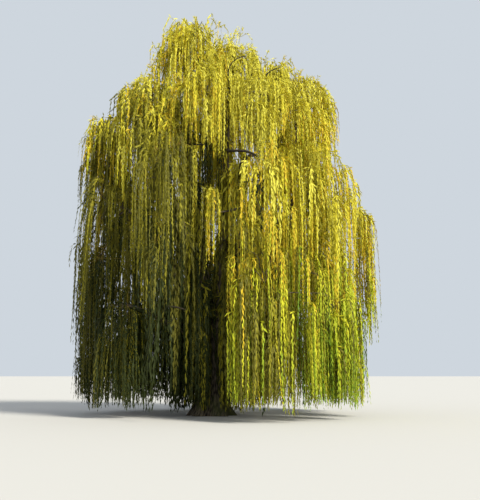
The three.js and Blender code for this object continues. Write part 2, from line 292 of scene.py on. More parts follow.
def make_piece(name, corners, faces, materials, slots=None, smooth=True, values=None):
    """Puts arrays into a new mesh object at the origin, riding on the tree's one body."""
    mesh = bpy.data.meshes.new(name)
    mesh.vertices.add(len(corners))
    mesh.vertices.foreach_set("co", np.ascontiguousarray(corners, np.float32).ravel())
    mesh.loops.add(faces.size)
    mesh.loops.foreach_set("vertex_index", np.ascontiguousarray(faces, np.int32).ravel())
    mesh.polygons.add(len(faces))
    mesh.polygons.foreach_set("loop_start", np.arange(0, faces.size, 3, dtype=np.int32))
    for material in materials:
        mesh.materials.append(material)
    if slots is not None:
        mesh.polygons.foreach_set("material_index", np.ascontiguousarray(slots, np.int32))
    mesh.polygons.foreach_set("use_smooth", np.full(len(faces), smooth))
    for key, numbers in (values or {}).items():
        layer = mesh.attributes.new(key, "FLOAT", "POINT")
        layer.data.foreach_set("value", np.ascontiguousarray(numbers, np.float32))
    mesh.update(calc_edges=True)
    if mesh.validate():
        raise RuntimeError(f"{name} has faulty faces")
    piece = bpy.data.objects.new(name, mesh)
    bpy.context.scene.collection.objects.link(piece)
    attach(piece, BODY)
    return piece


# Limbs, read from the solids

SLICES = 14
THINNEST_LIMB = 0.05
# How far a bough's bark runs on past its solid, down into the trunk and up into its mass
FOOT_RUN = 0.3
TIP_RUN = 0.15
LIMB_STEPS = 34


def limb_course(name, foot_run, tip_run, steps):
    """The middle line and radius of a bough's solid, carried on past both its ends.

    Slices square to the line from foot to tip give centres and radii; cubics fitted through the
    centres and a parabola through the radii give the course.
    """
    corners, triangles = node_mesh(name)
    foot = corners[corners[:, 2].argmin()]
    tip = corners[np.linalg.norm(corners - foot, axis=1).argmax()]
    axis = (tip - foot) / np.linalg.norm(tip - foot)
    along = corners @ axis
    low, high = along.min(), along.max()
    edges = np.concatenate([triangles[:, [0, 1]], triangles[:, [1, 2]], triangles[:, [2, 0]]])
    start, end = along[edges[:, 0]], along[edges[:, 1]]
    stations, centres, radii = [], [], []
    for station in np.linspace(low, high, SLICES)[1:-1]:
        crossing = (start - station) * (end - station) < 0
        if not crossing.any():
            continue
        share = ((station - start[crossing]) / (end[crossing] - start[crossing]))[:, None]
        cut = corners[edges[crossing, 0]] * (1 - share) + corners[edges[crossing, 1]] * share
        centre = (cut.min(0) + cut.max(0)) / 2
        stations.append(station)
        centres.append(centre)
        radii.append(np.linalg.norm(cut - centre, axis=1).mean())
    at = np.linspace(low - foot_run, high + tip_run, steps)
    centre_fit = np.polyfit(stations, np.array(centres), 3)
    course = sum(centre_fit[k] * at[:, None] ** (3 - k) for k in range(4))
    radius_fit = np.polyfit(stations, radii, 2)
    inside = np.clip(at, stations[0], stations[-1])
    radius = np.maximum(np.polyval(radius_fit, inside), THINNEST_LIMB)
    return course, radius


def limb_courses():
    """Every bough's course, with enough run at the foot to sink into the trunk."""
    return {name: limb_course(name, FOOT_RUN, TIP_RUN, LIMB_STEPS) for name in BOUGHS}


# Masses, locks and the skeleton that carries them


def as_seen(x, y, z):
    """Where the camera's line of sight through a place crosses the upright plane through the trunk."""
    stage = bpy.context.scene.willow_stage
    nearness = stage.distance / (stage.distance + y)
    across = (x - stage.sideways) * nearness + stage.sideways
    return across, (z - stage.eye_height) * nearness + stage.eye_height


# Limbs that show bare at the front: the bough each leaves, how far back it lies, its radius at the
# foot, and the places it passes (x, z)
BARE_LIMBS = (
    ("leader_bough", -3.4, 0.072, ((0.72, 9.2), (1.22, 9.24), (1.6, 9.2), (1.74, 8.95))),
    ("leader_bough", -1.9, 0.04, ((0.72, 10.9), (0.75, 11.6), (0.66, 12.25))),
    ("leader_bough", -1.9, 0.03, ((0.64, 12.45), (0.62, 12.95), (0.95, 13.3), (1.4, 13.38))),
    ("right_bough", -1.9, 0.035, ((1.91, 12.6), (2.25, 12.8), (2.7, 12.95))),
    ("peak_bough", -2.9, 0.04, ((-0.42, 9.58), (-0.1, 9.6))),
    ("low_left_bough", -3.0, 0.05, ((-1.4, 3.85), (-1.0, 3.78), (-0.73, 3.69))),
)
BARE_STEPS = 16
LIMB_MARGIN = 0.1
# The dark recess as seen from the front, in two parts: left, right and upper edge. Inner sprays round it are
# darkened as painted shade
RECESS = ((-0.72, 0.72, 8.3), (-1.8, -0.72, 6.2))
RECESS_BEFORE = -1.0
RECESS_OVERHANG = 0.6
# The dark hollow above it: left, right, lower and upper edge, how far back it reaches, and how far
# locks may end over it. The leaves that back it are painted shade, in the darkest olive
HOLLOW = (-0.75, 0.39, 8.8, 9.9)
HOLLOW_DEPTH = -1.8
HOLLOW_FRINGE = (0.2, 1.2)
# Where the crown would be thin: beside the left curtain, at two places along the hem, over the long
# bare limb, behind the recess, and at two places seen from the back left. Each has the number of the
# side it is seen from, its left, right, lower and upper edge, and its worth
THIN_SPOTS = (
    (0, -4.1, -2.9, 3.6, 6.1, 45.0),
    (0, -2.75, -1.8, 0.5, 1.4, 150.0),
    (0, 2.95, 3.75, 0.5, 1.4, 150.0),
    (0, 0.9, 1.5, 10.0, 11.4, 80.0),
    (0, -0.6, 0.2, 5.9, 8.2, 50.0),
    (2, -3.1, -1.9, 7.5, 10.5, 60.0),
    (2, 1.2, 2.2, 2.2, 4.2, 30.0),
)


def crosses_hollow(x, y, start, end):
    """Whether the camera sees a lock cross the dark hollow."""
    left, right, lower, upper = HOLLOW
    lock_x, high = as_seen(x, y, start)
    low = as_seen(x, y, end)[1]
    return (lock_x > left) & (lock_x < right) & (high > lower) & (low < upper)


def round_hollow(x, y, start, end, rng):
    """The lower height of a lock, raised at the front so that it ends over the dark hollow, and
    lowered behind so that it hangs all the way down the hollow's back."""
    if not crosses_hollow(x, y, start, end):
        return end
    if y > HOLLOW_DEPTH:
        return min(end, HOLLOW[2] - rng.uniform(*HOLLOW_FRINGE))
    ground, metre = as_seen(x, y, 0)[1], as_seen(x, y, 1)[1]
    return max(end, (HOLLOW[3] - ground) / (metre - ground))


def kept_open(x, y, start, end):
    """Whether a hanging lock would hide a bare limb, the hollow or the recess from the front."""
    if y < HOLLOW_DEPTH and crosses_hollow(x, y, start, end):
        return True
    lock_x, high = as_seen(x, y, start)
    low = as_seen(x, y, end)[1]
    for _, deep, _, places in BARE_LIMBS:
        limb_x, limb_z = np.transpose([as_seen(place_x, deep, place_z) for place_x, place_z in places])
        before = y < deep + LIMB_MARGIN
        beside = limb_x.min() - LIMB_MARGIN < lock_x < limb_x.max() + LIMB_MARGIN
        if before and beside and high > limb_z.min() and low < limb_z.max():
            return True
    return y < RECESS_BEFORE and any(
        left < lock_x < right and low < upper - RECESS_OVERHANG for left, right, upper in RECESS)


# How many more or fewer locks some masses get than their surface asks for
LOCK_SHARES = {
    "front_low_cascade_foliage": 0.2,
    "far_right_curtain_foliage": 1.5,
    "back_upper_foliage": 1.5,
    "front_upper_foliage": 1.3,
    "front_upper_right_foliage": 1.3,
}
# How far locks may hang below a mass of the middle tier or of the crown
SPILLS = {
    "front_right_cascade_foliage": 2.2,
    "right_front_cascade_foliage": 2.2,
    "right_cascade_foliage": 2.0,
}
CASCADE_SPILL = 0.8
CROWN_SPILL = 1.2
CROWN_SPILL_BEHIND = 2.4

# A mass whose top is over the first height belongs to the crown, one whose foot is under the second
# is a curtain, and the others are cascades
CROWN_TOP = 11.6
CURTAIN_FOOT = 1.2
# Locks to a square metre of each kind of mass, against each other
CROWN_DENSITY = 2.0
CURTAIN_DENSITY = 1.25
CASCADE_DENSITY = 0.85
# Locks are longer in masses that reach below this height
LONG_BELOW = 5.5
# An arm ends this far under its mass's crest: a share of the mass's height, but in this range
HUB_SHARE = 0.3
HUB_DROP = (0.7, 1.6)


class Mass:
    """One solid of foliage: its box, its outward direction and a search tree for rays."""

    def __init__(self, name):
        """Measures the solid, and sets how densely and how far down locks hang from it."""
        corners, triangles = node_mesh(name)
        self.name = name
        self.low, self.high = corners.min(0), corners.max(0)
        self.middle = (self.low + self.high) / 2
        self.drop = self.high[2] - self.low[2]
        outward = self.middle * [1, 1, 0]
        self.out = unit(outward)
        self.far = np.linalg.norm(outward)
        sides = corners[triangles]
        self.area = np.linalg.norm(
            np.cross(sides[:, 1] - sides[:, 0], sides[:, 2] - sides[:, 0]), axis=1).sum() / 2
        self.tree = BVHTree.FromPolygons(corners.tolist(), triangles.tolist())
        self.hangs_low = self.low[2] < CURTAIN_FOOT
        self.in_crown = self.high[2] > CROWN_TOP
        if self.in_crown:
            density = CROWN_DENSITY
            self.spill = CROWN_SPILL if self.middle[1] < 1 else CROWN_SPILL_BEHIND
        elif self.hangs_low:
            density = CURTAIN_DENSITY
            self.spill = 0.0
        else:
            density = CASCADE_DENSITY
            self.spill = SPILLS.get(name, CASCADE_SPILL)
        self.weight = self.area * density * LOCK_SHARES.get(name, 1.0)
        self.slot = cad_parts[name].data.materials[0].name

    def column(self, x, y):
        """The heights at which a plumb line enters and leaves the solid, or None beside it."""
        above = self.tree.ray_cast(Vector((x, y, self.high[2] + 1)), Vector((0, 0, -1)))[0]
        below = self.tree.ray_cast(Vector((x, y, self.low[2] - 1)), Vector((0, 0, 1)))[0]
        if above is None or below is None:
            return None
        return above.z, below.z

    def hub(self):
        """Where its arm ends: the middle of the dome, below the crest."""
        return np.array([*self.middle[:2], self.high[2] - np.clip(HUB_SHARE * self.drop, *HUB_DROP)])

    def longest(self, settings):
        """The longest lock that hangs here."""
        return settings.longest_low if self.low[2] < LONG_BELOW else settings.longest_high


CAD_LOW, CAD_HIGH = (np.array(corner)[:2] for corner in CAD_BOX)
# How far locks stay inside the solids' own box
EDGE = 0.38
# Where the locks stand higher than their mass: place across as seen, half width, height
CREST_RISES = ((0.3, 0.45, 0.5), (3.2, 1.3, 0.25))


def crest_rise(x, y, z):
    """How much higher a lock starts in the dip between the crests and along the right shoulder."""
    across = as_seen(x, y, z)[0]
    return sum(
        height * np.exp(-((across - place) / half_width) ** 2)
        for place, half_width, height in CREST_RISES)


# Masses nearer to the trunk's axis than this have no outer side
CENTRAL_WITHIN = 1.8
# How many of a mass's locks start on its dome
DOME_SHARE = 0.42
CROWN_DOME_SHARE = 0.68
# Ranges for outer locks: how far below the dome one starts, or down the side as a share of its
# height, and how far each arches out; then the same for the crown's brush, and its length
DOME_DROP = (0.05, 0.35)
SIDE_DROP = (0.08, 0.7)
DOME_REACH = (0.3, 0.7)
SIDE_REACH = (0.14, 0.36)
BRUSH_DROP = (0.25, 0.9)
BRUSH_LENGTH = (0.7, 1.7)
# How far below a curtain's lower edge most of its locks end, and how much higher up they start
HEM = (0, 0.15)
HEM_SHARE = 0.85
RAISED = (0, 1.5)
SHORTEST_OUTER = 0.6
# Locks hang where a mass is at least this thick. As shares of its half width, those on its sides lie
# at least this far from its middle, and those of a thin mass at most this far
THICK_ENOUGH = 0.8
SIDES_FROM = 0.55
MIDDLE_WITHIN = 0.35
# How many of the locks that would hide what is kept open are left out
LEFT_OUT = 0.9


def outer_locks(masses, settings, rng):
    """Locks on the outside of each mass.

    Columns are drawn over a solid's plan, more often near its rim and on the tree's outer side. Some of
    the locks start on the dome, with a wide reach; the others start lower down, near the rim. Those on
    the crown's domes are a short brush. A mass with a thin share has locks near its middle only.
    """
    whole = sum(mass.weight for mass in masses)
    rows = []
    for number, mass in enumerate(masses):
        thin = LOCK_SHARES.get(mass.name, 1.0) < 1
        wanted = max(4 if thin else 6, round(settings.locks * mass.weight / whole))
        longest = mass.longest(settings)
        half = (mass.high[:2] - mass.low[:2]) / 2
        while wanted:
            x, y = rng.uniform(mass.low[:2], mass.high[:2])
            aside = (np.array([x, y]) - mass.middle[:2]) / half
            outer = np.clip(aside @ mass.out[:2], -1, 1) if mass.far > CENTRAL_WITHIN else 1.0
            rim = min(1.0, np.hypot(*aside))
            if rng.random() > (0.3 + 0.7 * rim**2) * (0.75 + 0.25 * outer):
                continue
            column = mass.column(x, y)
            if column is None or column[0] - column[1] < THICK_ENOUGH:
                continue
            top, bottom = column
            on_dome = rng.random() < (CROWN_DOME_SHARE if mass.in_crown else 1.0 if thin else DOME_SHARE)
            if (not on_dome and rim < SIDES_FROM) or (thin and rim > MIDDLE_WITHIN):
                continue
            drop = rng.uniform(*DOME_DROP) if on_dome else (top - bottom) * rng.uniform(*SIDE_DROP)
            reach = rng.uniform(*DOME_REACH) if on_dome and not thin else rng.uniform(*SIDE_REACH)
            brush = on_dome and mass.in_crown
            if brush:
                drop = rng.uniform(*BRUSH_DROP) - crest_rise(x, y, top)
            start = top - drop
            if mass.hangs_low:
                length = rng.uniform(0.5, 1.0) * longest
            else:
                length = rng.uniform(settings.shortest, longest)
            if brush:
                length = rng.uniform(*BRUSH_LENGTH)
            spill = rng.uniform(0, mass.spill)
            end = round_hollow(x, y, start, max(bottom - spill, start - length), rng)
            if mass.hangs_low and rng.random() < HEM_SHARE:
                end = bottom - rng.uniform(*HEM)
            if start - end < SHORTEST_OUTER:
                continue
            if kept_open(x, y, start, end) and not thin and rng.random() < LEFT_OUT:
                continue
            outward = np.array([*aside, 0.0]) + mass.out * min(1.0, mass.far / 3)
            facing = unit(outward + 0.25 * rng.normal(size=3) * [1, 1, 0])
            raised = mass.hangs_low * rng.uniform(*RAISED)
            hanging = np.clip([x, y], CAD_LOW + EDGE, CAD_HIGH - EDGE)
            foot = hanging - reach * facing[:2] - 0.3 * raised * mass.out[:2]
            rows.append((number, *foot, start + raised, end, *facing[:2], reach, OUTER))
            wanted -= 1
    return np.array(rows)


SIDE_VIEWS = 8
SAMPLES = 10
# The grid's columns and rows, the width and height of a cell, and where the first column starts
COLUMNS, ROWS = 60, 40
CELL = np.array([0.35, 0.5])
GRID_START = -9
COVER_PER_METRE = 0.148
# How much of a shoot's cover one deeper in the crown has
SPARSE_COVER = 0.7
# What a cell is worth: at the sides, at the front, in the front's lowest rows, and in the hollow
SIDE_WORTH = 1.3
FRONT_WORTH = 8.0
HEM_WORTH = 20.0
HEM_ROWS = 4
# The locks drawn into the hollow's cells back it with painted shade
HOLLOW_WORTH = 400.0


class Cover:
    """How much light passes between the locks, seen from the front and from seven other sides.

    Each side has a grid of cells. The light that passes a cell is e^(-cover x metres of shoot in it).
    From the front the cells are seen in perspective, as the camera sees them, and else square on.
    A cell is worth more at the front, more still along the hem there and at the thin spots, and most
    in the hollow.
    """

    def __init__(self, shoots_per_lock):
        """Starts with empty cells, and sets what each is worth."""
        self.shoots = shoots_per_lock
        self.metres = np.zeros((SIDE_VIEWS, COLUMNS, ROWS))
        self.worth = np.full(self.metres.shape, SIDE_WORTH)
        self.worth[0] = FRONT_WORTH
        self.worth[0, :, :HEM_ROWS] = HEM_WORTH
        for side, left, right, lower, upper, worth in ((0, *HOLLOW, HOLLOW_WORTH), *THIN_SPOTS):
            first, last = ((np.array([left, right]) - GRID_START) / CELL[0]).astype(int)
            low, high = (np.array([lower, upper]) / CELL[1]).astype(int)
            self.worth[side, first:last + 1, low:high + 1] = worth

    def cells(self, locks):
        """The cells that points down each lock fall in: side, column and row."""
        angle = np.pi * np.arange(SIDE_VIEWS) / SIDE_VIEWS
        x, y = (locks[:, FOOT_X:START] + locks[:, REACH, None] * locks[:, OUT_X:REACH]).T
        across = x[:, None] * np.cos(angle) + y[:, None] * np.sin(angle)
        down = np.linspace(0, 1, SAMPLES)
        height = locks[:, START, None] * (1 - down) + locks[:, END, None] * down
        height = np.repeat(height[..., None], SIDE_VIEWS, axis=2)
        across[:, 0] = as_seen(x, y, 0)[0]
        height[..., 0] = as_seen(0, y[:, None], height[..., 0])[1]
        column = np.clip((across - GRID_START) / CELL[0], 0, COLUMNS - 1).astype(int)[:, None]
        row = np.clip(height / CELL[1], 0, ROWS - 1).astype(int)
        return np.arange(SIDE_VIEWS), column, row

    def add(self, locks):
        """Adds the metres of shoot in each lock to the cells that it hangs in."""
        shoots = np.where(locks[:, KIND] > OUTER, SPARSE_COVER, 1.0) * self.shoots
        share = (locks[:, START] - locks[:, END]) * shoots / SAMPLES
        np.add.at(self.metres, self.cells(locks), share[:, None, None])

    def thinnest(self, drawn, wanted):
        """The drawn locks in whose cells most light passes, which are added to the cover."""
        cells = self.cells(drawn)
        light = np.exp(-COVER_PER_METRE * self.metres[cells])
        passing = (light**3 * self.worth[cells]).mean(1).sum(1)
        kept = drawn[np.argsort(-passing)[:wanted]]
        self.add(kept)
        return kept


ROUNDS = 8
DRAWN_PER_KEPT = 6
# A filling lock starts this far under the dome and down to this share of the mass's height, spans this
# much of the longest lock, and arches this far out
FILLING_DROP = 0.3
FILLING_DEPTH = (0, 0.7)
FILLING_SPAN = (0.4, 0.9)
FILLING_REACH = (0.15, 0.4)
SHORTEST_FILLING = 0.9
# It hangs where a mass is at least this thick, within this share of its width from its middle
FILLING_THICK = 1.2
FILLING_WITHIN = 0.42
# How many of a curtain's filling locks reach its hem
FILLING_HEM_SHARE = 0.6


def filling_locks(masses, cover, settings, rng):
    """Locks inside the masses, kept where the ones that hang already leave the crown thin."""
    weights = np.array([mass.weight for mass in masses])
    kept = []
    for _ in range(ROUNDS):
        wanted = settings.filling_locks // ROUNDS
        rows = []
        while len(rows) < DRAWN_PER_KEPT * wanted:
            number = rng.choice(len(masses), p=weights / weights.sum())
            mass = masses[number]
            x, y = rng.uniform(mass.low[:2], mass.high[:2])
            column = mass.column(x, y)
            if column is None or column[0] - column[1] < FILLING_THICK:
                continue
            top, bottom = column
            aside = np.array([x, y]) - mass.middle[:2]
            if np.hypot(*aside / (mass.high - mass.low)[:2]) > FILLING_WITHIN:
                continue
            start = top - FILLING_DROP - (top - bottom) * rng.uniform(*FILLING_DEPTH)
            lowest = bottom - rng.uniform(0, mass.spill)
            end = max(lowest, start - rng.uniform(*FILLING_SPAN) * mass.longest(settings))
            if mass.hangs_low and rng.random() < FILLING_HEM_SHARE:
                end = bottom - rng.uniform(*HEM)
            end = round_hollow(x, y, start, end, rng)
            if start - end < SHORTEST_FILLING or kept_open(x, y, start, end):
                continue
            facing = unit(aside + mass.out[:2] + 0.4 * rng.normal(size=2))
            reach = rng.uniform(*FILLING_REACH)
            foot = np.clip([x, y], CAD_LOW + EDGE, CAD_HIGH - EDGE) - reach * facing
            rows.append((number, *foot, start, end, *facing, reach, FILLING))
        kept.append(cover.thinnest(np.array(rows), wanted))
    return np.concatenate(kept)


# Inner locks hang within this distance of the trunk's axis, and from wood that is nearer to it and
# lower than the veil's edge they hang long
INNER_WITHIN = 4.8
VEIL_WITHIN = 4.6
VEIL_UNDER = 8.5
VEIL_LENGTH = (2.8, 6.5)
INNER_LENGTH = (0.9, 2.6)
INNER_HEM = (0.25, 0.8)
INNER_REACH = (0.12, 0.4)
SHORTEST_INNER = 0.6
# How much more often a bough's wood is picked than a branch's
BOUGH_CHANCE = 4
# Which points of boughs, of boughs' lower parts, of arms and of branches inner locks hang from
BOUGH_POINTS = slice(9, None)
LOW_BOUGH_POINTS = slice(7, 17)
ARM_POINTS = slice(4, None)
BRANCH_POINTS = slice(2, None)


def in_recess(place):
    """Whether a place on a limb lies in the recess at the front."""
    return place[1] < -2.2 and -1.2 < place[0] < 1.3 and place[2] < 9


def inner_locks(courses, arms, branches, branch_masses, cover, settings, rng):
    """Locks inside the crown, hanging straight from boughs, arms and branches where it is thin.

    From low limbs they are long and veil the trunk. None hang in the recess at the front.
    """
    wood = [course[BOUGH_POINTS] for course, _ in courses.values()]
    wood += [path[ARM_POINTS] for path, _ in arms.values()]
    wood += [branch[BRANCH_POINTS] for branch in branches]
    owners = [-1] * len(courses) + list(arms) + list(branch_masses)
    runs = np.array([np.linalg.norm(np.diff(path, axis=0), axis=1).sum() for path in wood])
    runs[: len(courses)] *= BOUGH_CHANCE
    wood += [course[LOW_BOUGH_POINTS] for course, _ in courses.values()]
    owners += [-1] * len(courses)
    runs = np.concatenate([runs, BOUGH_CHANCE * runs[: len(courses)]])
    hubs = np.array([path[-1] for path, _ in arms.values()])
    kept = []
    for _ in range(ROUNDS):
        wanted = settings.inner_locks // ROUNDS
        rows = []
        while len(rows) < DRAWN_PER_KEPT * wanted:
            pick = rng.choice(len(wood), p=runs / runs.sum())
            place = wood[pick][rng.integers(len(wood[pick]))]
            if in_recess(place) or np.hypot(*place[:2]) > INNER_WITHIN:
                continue
            owner = owners[pick]
            if owner < 0:
                owner = list(arms)[np.linalg.norm(hubs - place, axis=1).argmin()]
            turn = rng.uniform(0, 2 * np.pi)
            veil = np.hypot(*place[:2]) < VEIL_WITHIN and place[2] < VEIL_UNDER
            length = rng.uniform(*VEIL_LENGTH) if veil else rng.uniform(*INNER_LENGTH)
            end = max(rng.uniform(*INNER_HEM), place[2] - length)
            if place[2] - end > SHORTEST_INNER:
                reach = rng.uniform(*INNER_REACH)
                rows.append((owner, *place, end, np.cos(turn), np.sin(turn), reach, INNER))
        kept.append(cover.thinnest(np.array(rows), wanted))
    return np.concatenate(kept)


# Arms leave a bough from this point of its course on, and an arm from its own fifth point on
BOUGH_FREE = 14
ARM_FREE = 4
ARM_STEPS = 16
ARM_TIP = 0.022
# An arm that would turn back, or drop, counts as further away than it is
BACKWARD_COST = 1.8
DROP_COST = 0.8


def grow_arms(masses, courses):
    """One arm into each mass, in the order in which the growing skeleton comes nearest to them.

    An arm leaves its parent limb along the limb's own direction and rises to the hub of its mass.
    """
    free = [(course[BOUGH_FREE:], unit(np.gradient(course, axis=0))[BOUGH_FREE:], radius[BOUGH_FREE:])
            for course, radius in courses.values()]
    points, headings, girths = (np.concatenate(parts) for parts in zip(*free))
    waiting = {number: mass.hub() for number, mass in enumerate(masses)}
    arms = {}
    while waiting:
        hubs = np.array(list(waiting.values()))
        apart = hubs[:, None] - points[None]
        distance = np.linalg.norm(apart, axis=2)
        backward = (unit(apart) * headings[None]).sum(2) < 0.1
        dropping = np.maximum(-apart[..., 2], 0)
        cost = distance * np.where(backward, BACKWARD_COST, 1.0) + DROP_COST * dropping
        which, where = np.unravel_index(cost.argmin(), cost.shape)
        number = list(waiting)[which]
        hub = waiting.pop(number)
        start, heading, length = points[where], headings[where], distance[which, where]
        ending = unit(0.7 * masses[number].out + 0.5 * UP)
        leaving, arriving = start + 0.45 * length * heading, hub - 0.35 * length * ending
        path = bezier(start, leaving, arriving, hub, ARM_STEPS)[0]
        girth = min(0.75 * girths[where], 0.03 + 0.02 * masses[number].area ** 0.5)
        radius = girth + (ARM_TIP - girth) * np.linspace(0, 1, ARM_STEPS) ** 0.8
        arms[number] = (path, radius)
        points = np.concatenate([points, path[ARM_FREE:]])
        headings = np.concatenate([headings, unit(np.gradient(path, axis=0))[ARM_FREE:]])
        girths = np.concatenate([girths, radius[ARM_FREE:]])
    return arms


def bare_limbs(courses):
    """The limbs that stay bare: each leaves its bough, at the point that the camera sees nearest to
    the first of the places listed for it, and passes these."""
    paths, girths = [], []
    for bough, deep, thick, places in BARE_LIMBS:
        wood = courses[bough][0]
        line = np.array([(x, deep, z) for x, z in places])
        apart = np.subtract(as_seen(*wood.T), np.array(as_seen(*line[0]))[:, None])
        line = np.concatenate([[wood[np.hypot(*apart).argmin()]], line])
        run = np.concatenate([[0], np.cumsum(np.linalg.norm(np.diff(line, axis=0), axis=1))])
        at = np.linspace(0, run[-1], BARE_STEPS)
        path = np.stack([np.interp(at, run, line[:, k]) for k in range(3)], 1)
        for _ in range(2):
            path[1:-1] = 0.25 * path[:-2] + 0.5 * path[1:-1] + 0.25 * path[2:]
        paths.append(path)
        girths.append(np.linspace(thick, 0.55 * thick, BARE_STEPS))
    return np.array(paths), np.array(girths)


REGROUPED = 6


def nearest_sites(places, count, rng):
    """Groups places round `count` of their own, moved to the middle of their group a few times."""
    sites = places[rng.permutation(len(places))[:count]]
    for _ in range(REGROUPED):
        group = np.linalg.norm(places[:, None] - sites[None], axis=2).argmin(1)
        sites = np.array([
            places[group == k].mean(0) if (group == k).any() else sites[k] for k in range(count)])
    return sites, group


LOCKS_PER_BRANCH = 5
BRANCH_STEPS = 9
BRANCH_TIP = 0.009
TWIG_STEPS = 5
# Branches leave an arm, and twigs a branch, from this point of it on
BRANCHES_FROM = 5
TWIGS_FROM = 5


def grow_branches(masses, arms, ends, numbers, rng):
    """Branches from each arm to groups of locks, and a twig from a branch to each lock's start."""
    branches, girths, owners, twigs = [], [], [], np.empty((len(ends), TWIG_STEPS, 3))
    for number in range(len(masses)):
        mine = np.flatnonzero(numbers == number)
        path, radius = arms[number]
        sites, group = nearest_sites(ends[mine], max(2, len(mine) // LOCKS_PER_BRANCH), rng)
        for k, site in enumerate(sites):
            locks = mine[group == k]
            if not len(locks):
                continue
            arm = path[BRANCHES_FROM:]
            rise = np.abs(site[2] - 0.4 - arm[:, 2])
            where = BRANCHES_FROM + (np.linalg.norm(arm - site, axis=1) + 0.5 * rise).argmin()
            start = path[where]
            goal = site - 0.12 * (site - start) - [0, 0, 0.08]
            span = np.linalg.norm(goal - start)
            heading = unit(unit(goal - start) + 0.5 * unit(path[where] - path[where - 1]) + 0.35 * UP)
            falling = unit((goal - start) * [1, 1, 0.2] + [0, 0, -0.15 * span])
            leaving, arriving = start + 0.35 * span * heading, goal - 0.35 * span * falling
            branch = bezier(start, leaving, arriving, goal, BRANCH_STEPS)[0]
            branch[1:-1] += rng.normal(scale=0.02 * span, size=(BRANCH_STEPS - 2, 3))
            branches.append(branch)
            owners.append(number)
            thick = min(0.8 * radius[where], 0.014 + 0.007 * len(locks) ** 0.5)
            girths.append(np.linspace(thick, BRANCH_TIP, BRANCH_STEPS))
            at = rng.integers(TWIGS_FROM, BRANCH_STEPS, len(locks))
            begin, finish = branch[at], ends[locks]
            run = np.linalg.norm(finish - begin, axis=1, keepdims=True)
            lead = unit(branch[at] - branch[at - 1])
            arch = unit((finish - begin) * [1, 1, 0.3] + [0, 0, 0.02])
            leaving, arriving = begin + 0.35 * run * lead + 0.12 * run * UP, finish - 0.3 * run * arch
            twigs[locks] = bezier(begin, leaving, arriving, finish, TWIG_STEPS)
    return np.array(branches), np.array(girths), owners, twigs


SHOOT_STEPS = np.array([0.0, 0.07, 0.2, 0.55, 1.0])
# A lock with more reach than this starts on a dome; one that ends under this height makes the hem
WIDE_REACH = 0.3
HEM_UNDER = 1.2
# How much of a shoot's length may be missing, at the hem and elsewhere
HEM_UNEVEN = 0.14
UNEVEN = 0.6
UPRIGHT_SHARE = 0.3
LOWEST_TIP = 0.1
# An outer lock has up to this many shoots more or fewer than the average; a filling or an inner lock
# has this many, or one more
SHOOTS_MORE = 3
FILLING_SHOOTS = 4
INNER_SHOOTS = 3


def hang_shoots(locks, settings, rng):
    """The path of every shoot and the lock that it belongs to.

    A shoot at run s from its start lies reach(1 - e^(-s/bend)) out and s - lift * bend(1 - e^(-s/bend))
    down, so it arches over and then hangs plumb. Some on the crown are short and end while still
    upright. The whole lock leans a little, and each shoot sways.
    """
    average = settings.shoots_per_lock
    each = rng.integers(average - SHOOTS_MORE, average + SHOOTS_MORE + 1, len(locks))
    each = np.where(locks[:, KIND] > OUTER, INNER_SHOOTS + each % 2, each)
    each = np.where(locks[:, KIND] == FILLING, FILLING_SHOOTS + each % 2, each)
    lock = np.repeat(np.arange(len(locks)), each)
    count = len(lock)
    of_lock = locks[lock]
    wide = of_lock[:, REACH] > WIDE_REACH
    plumed = wide & (of_lock[:, KIND] == OUTER) & (of_lock[:, START] > settings.plumes_above)
    scattered = np.where(plumed, 1.2, 0.7) * rng.normal(size=count)
    facing = np.arctan2(of_lock[:, OUT_Y], of_lock[:, OUT_X]) + scattered
    out = np.stack([np.cos(facing), np.sin(facing), np.zeros(count)], 1)
    reach = of_lock[:, REACH] * rng.uniform(0.6, 1.3, count)
    bend = reach / rng.uniform(0.8, 1.15, count)
    lift = np.where(wide, rng.uniform(1.1, 2.1, count), rng.uniform(0.95, 1.4, count))
    lift = np.where(plumed, rng.uniform(1.3, 2.8, count), lift)
    hang = of_lock[:, START] - of_lock[:, END]
    uneven = np.where(of_lock[:, END] < HEM_UNDER, HEM_UNEVEN, UNEVEN)
    length = hang * (1 - uneven * rng.random(count) ** 2.2) + bend * lift
    upright = plumed & (rng.random(count) < UPRIGHT_SHARE)
    bend = np.where(upright, np.minimum(bend, 0.45), bend)
    lift = np.where(upright, rng.uniform(2.4, 3.6, count), lift)
    length = np.where(upright, bend * rng.uniform(1.2, 2.1, count), length)
    reach = np.where(upright, 0.5 * reach, reach)
    scattering = rng.normal(scale=0.3, size=(count, 3)) * settings.lock_spread * [1, 1, 0.5]
    start = of_lock[:, FOOT_X:END] + scattering
    scatter = 0.45 * np.clip(rng.normal(size=(count, 2)), -2, 2) * settings.lock_spread
    lean = 0.05 * np.clip(rng.normal(size=(len(locks), 2)), -1.6, 1.6)[lock]
    run = SHOOT_STEPS[None] * length[:, None]
    over = 1 - np.exp(-run / bend[:, None])
    phase = rng.uniform(0, 2 * np.pi, (count, 1))
    sway = 0.022 * np.sin(run * rng.uniform(1.2, 2.6, (count, 1)) + phase) * np.minimum(run, 1)
    level = out[:, None, :2] * (reach[:, None] * over)[..., None]
    level = level + scatter[:, None] * over[..., None] + lean[:, None] * (run * run / 9)[..., None]
    level = level + sway[..., None] * np.stack([-out[:, 1], out[:, 0]], 1)[:, None]
    fall = run - lift[:, None] * bend[:, None] * over
    path = start[:, None] + np.concatenate([level, -fall[..., None]], 2)
    path[..., 2] = np.maximum(path[..., 2], LOWEST_TIP)
    return path, lock, length


_plan = {}


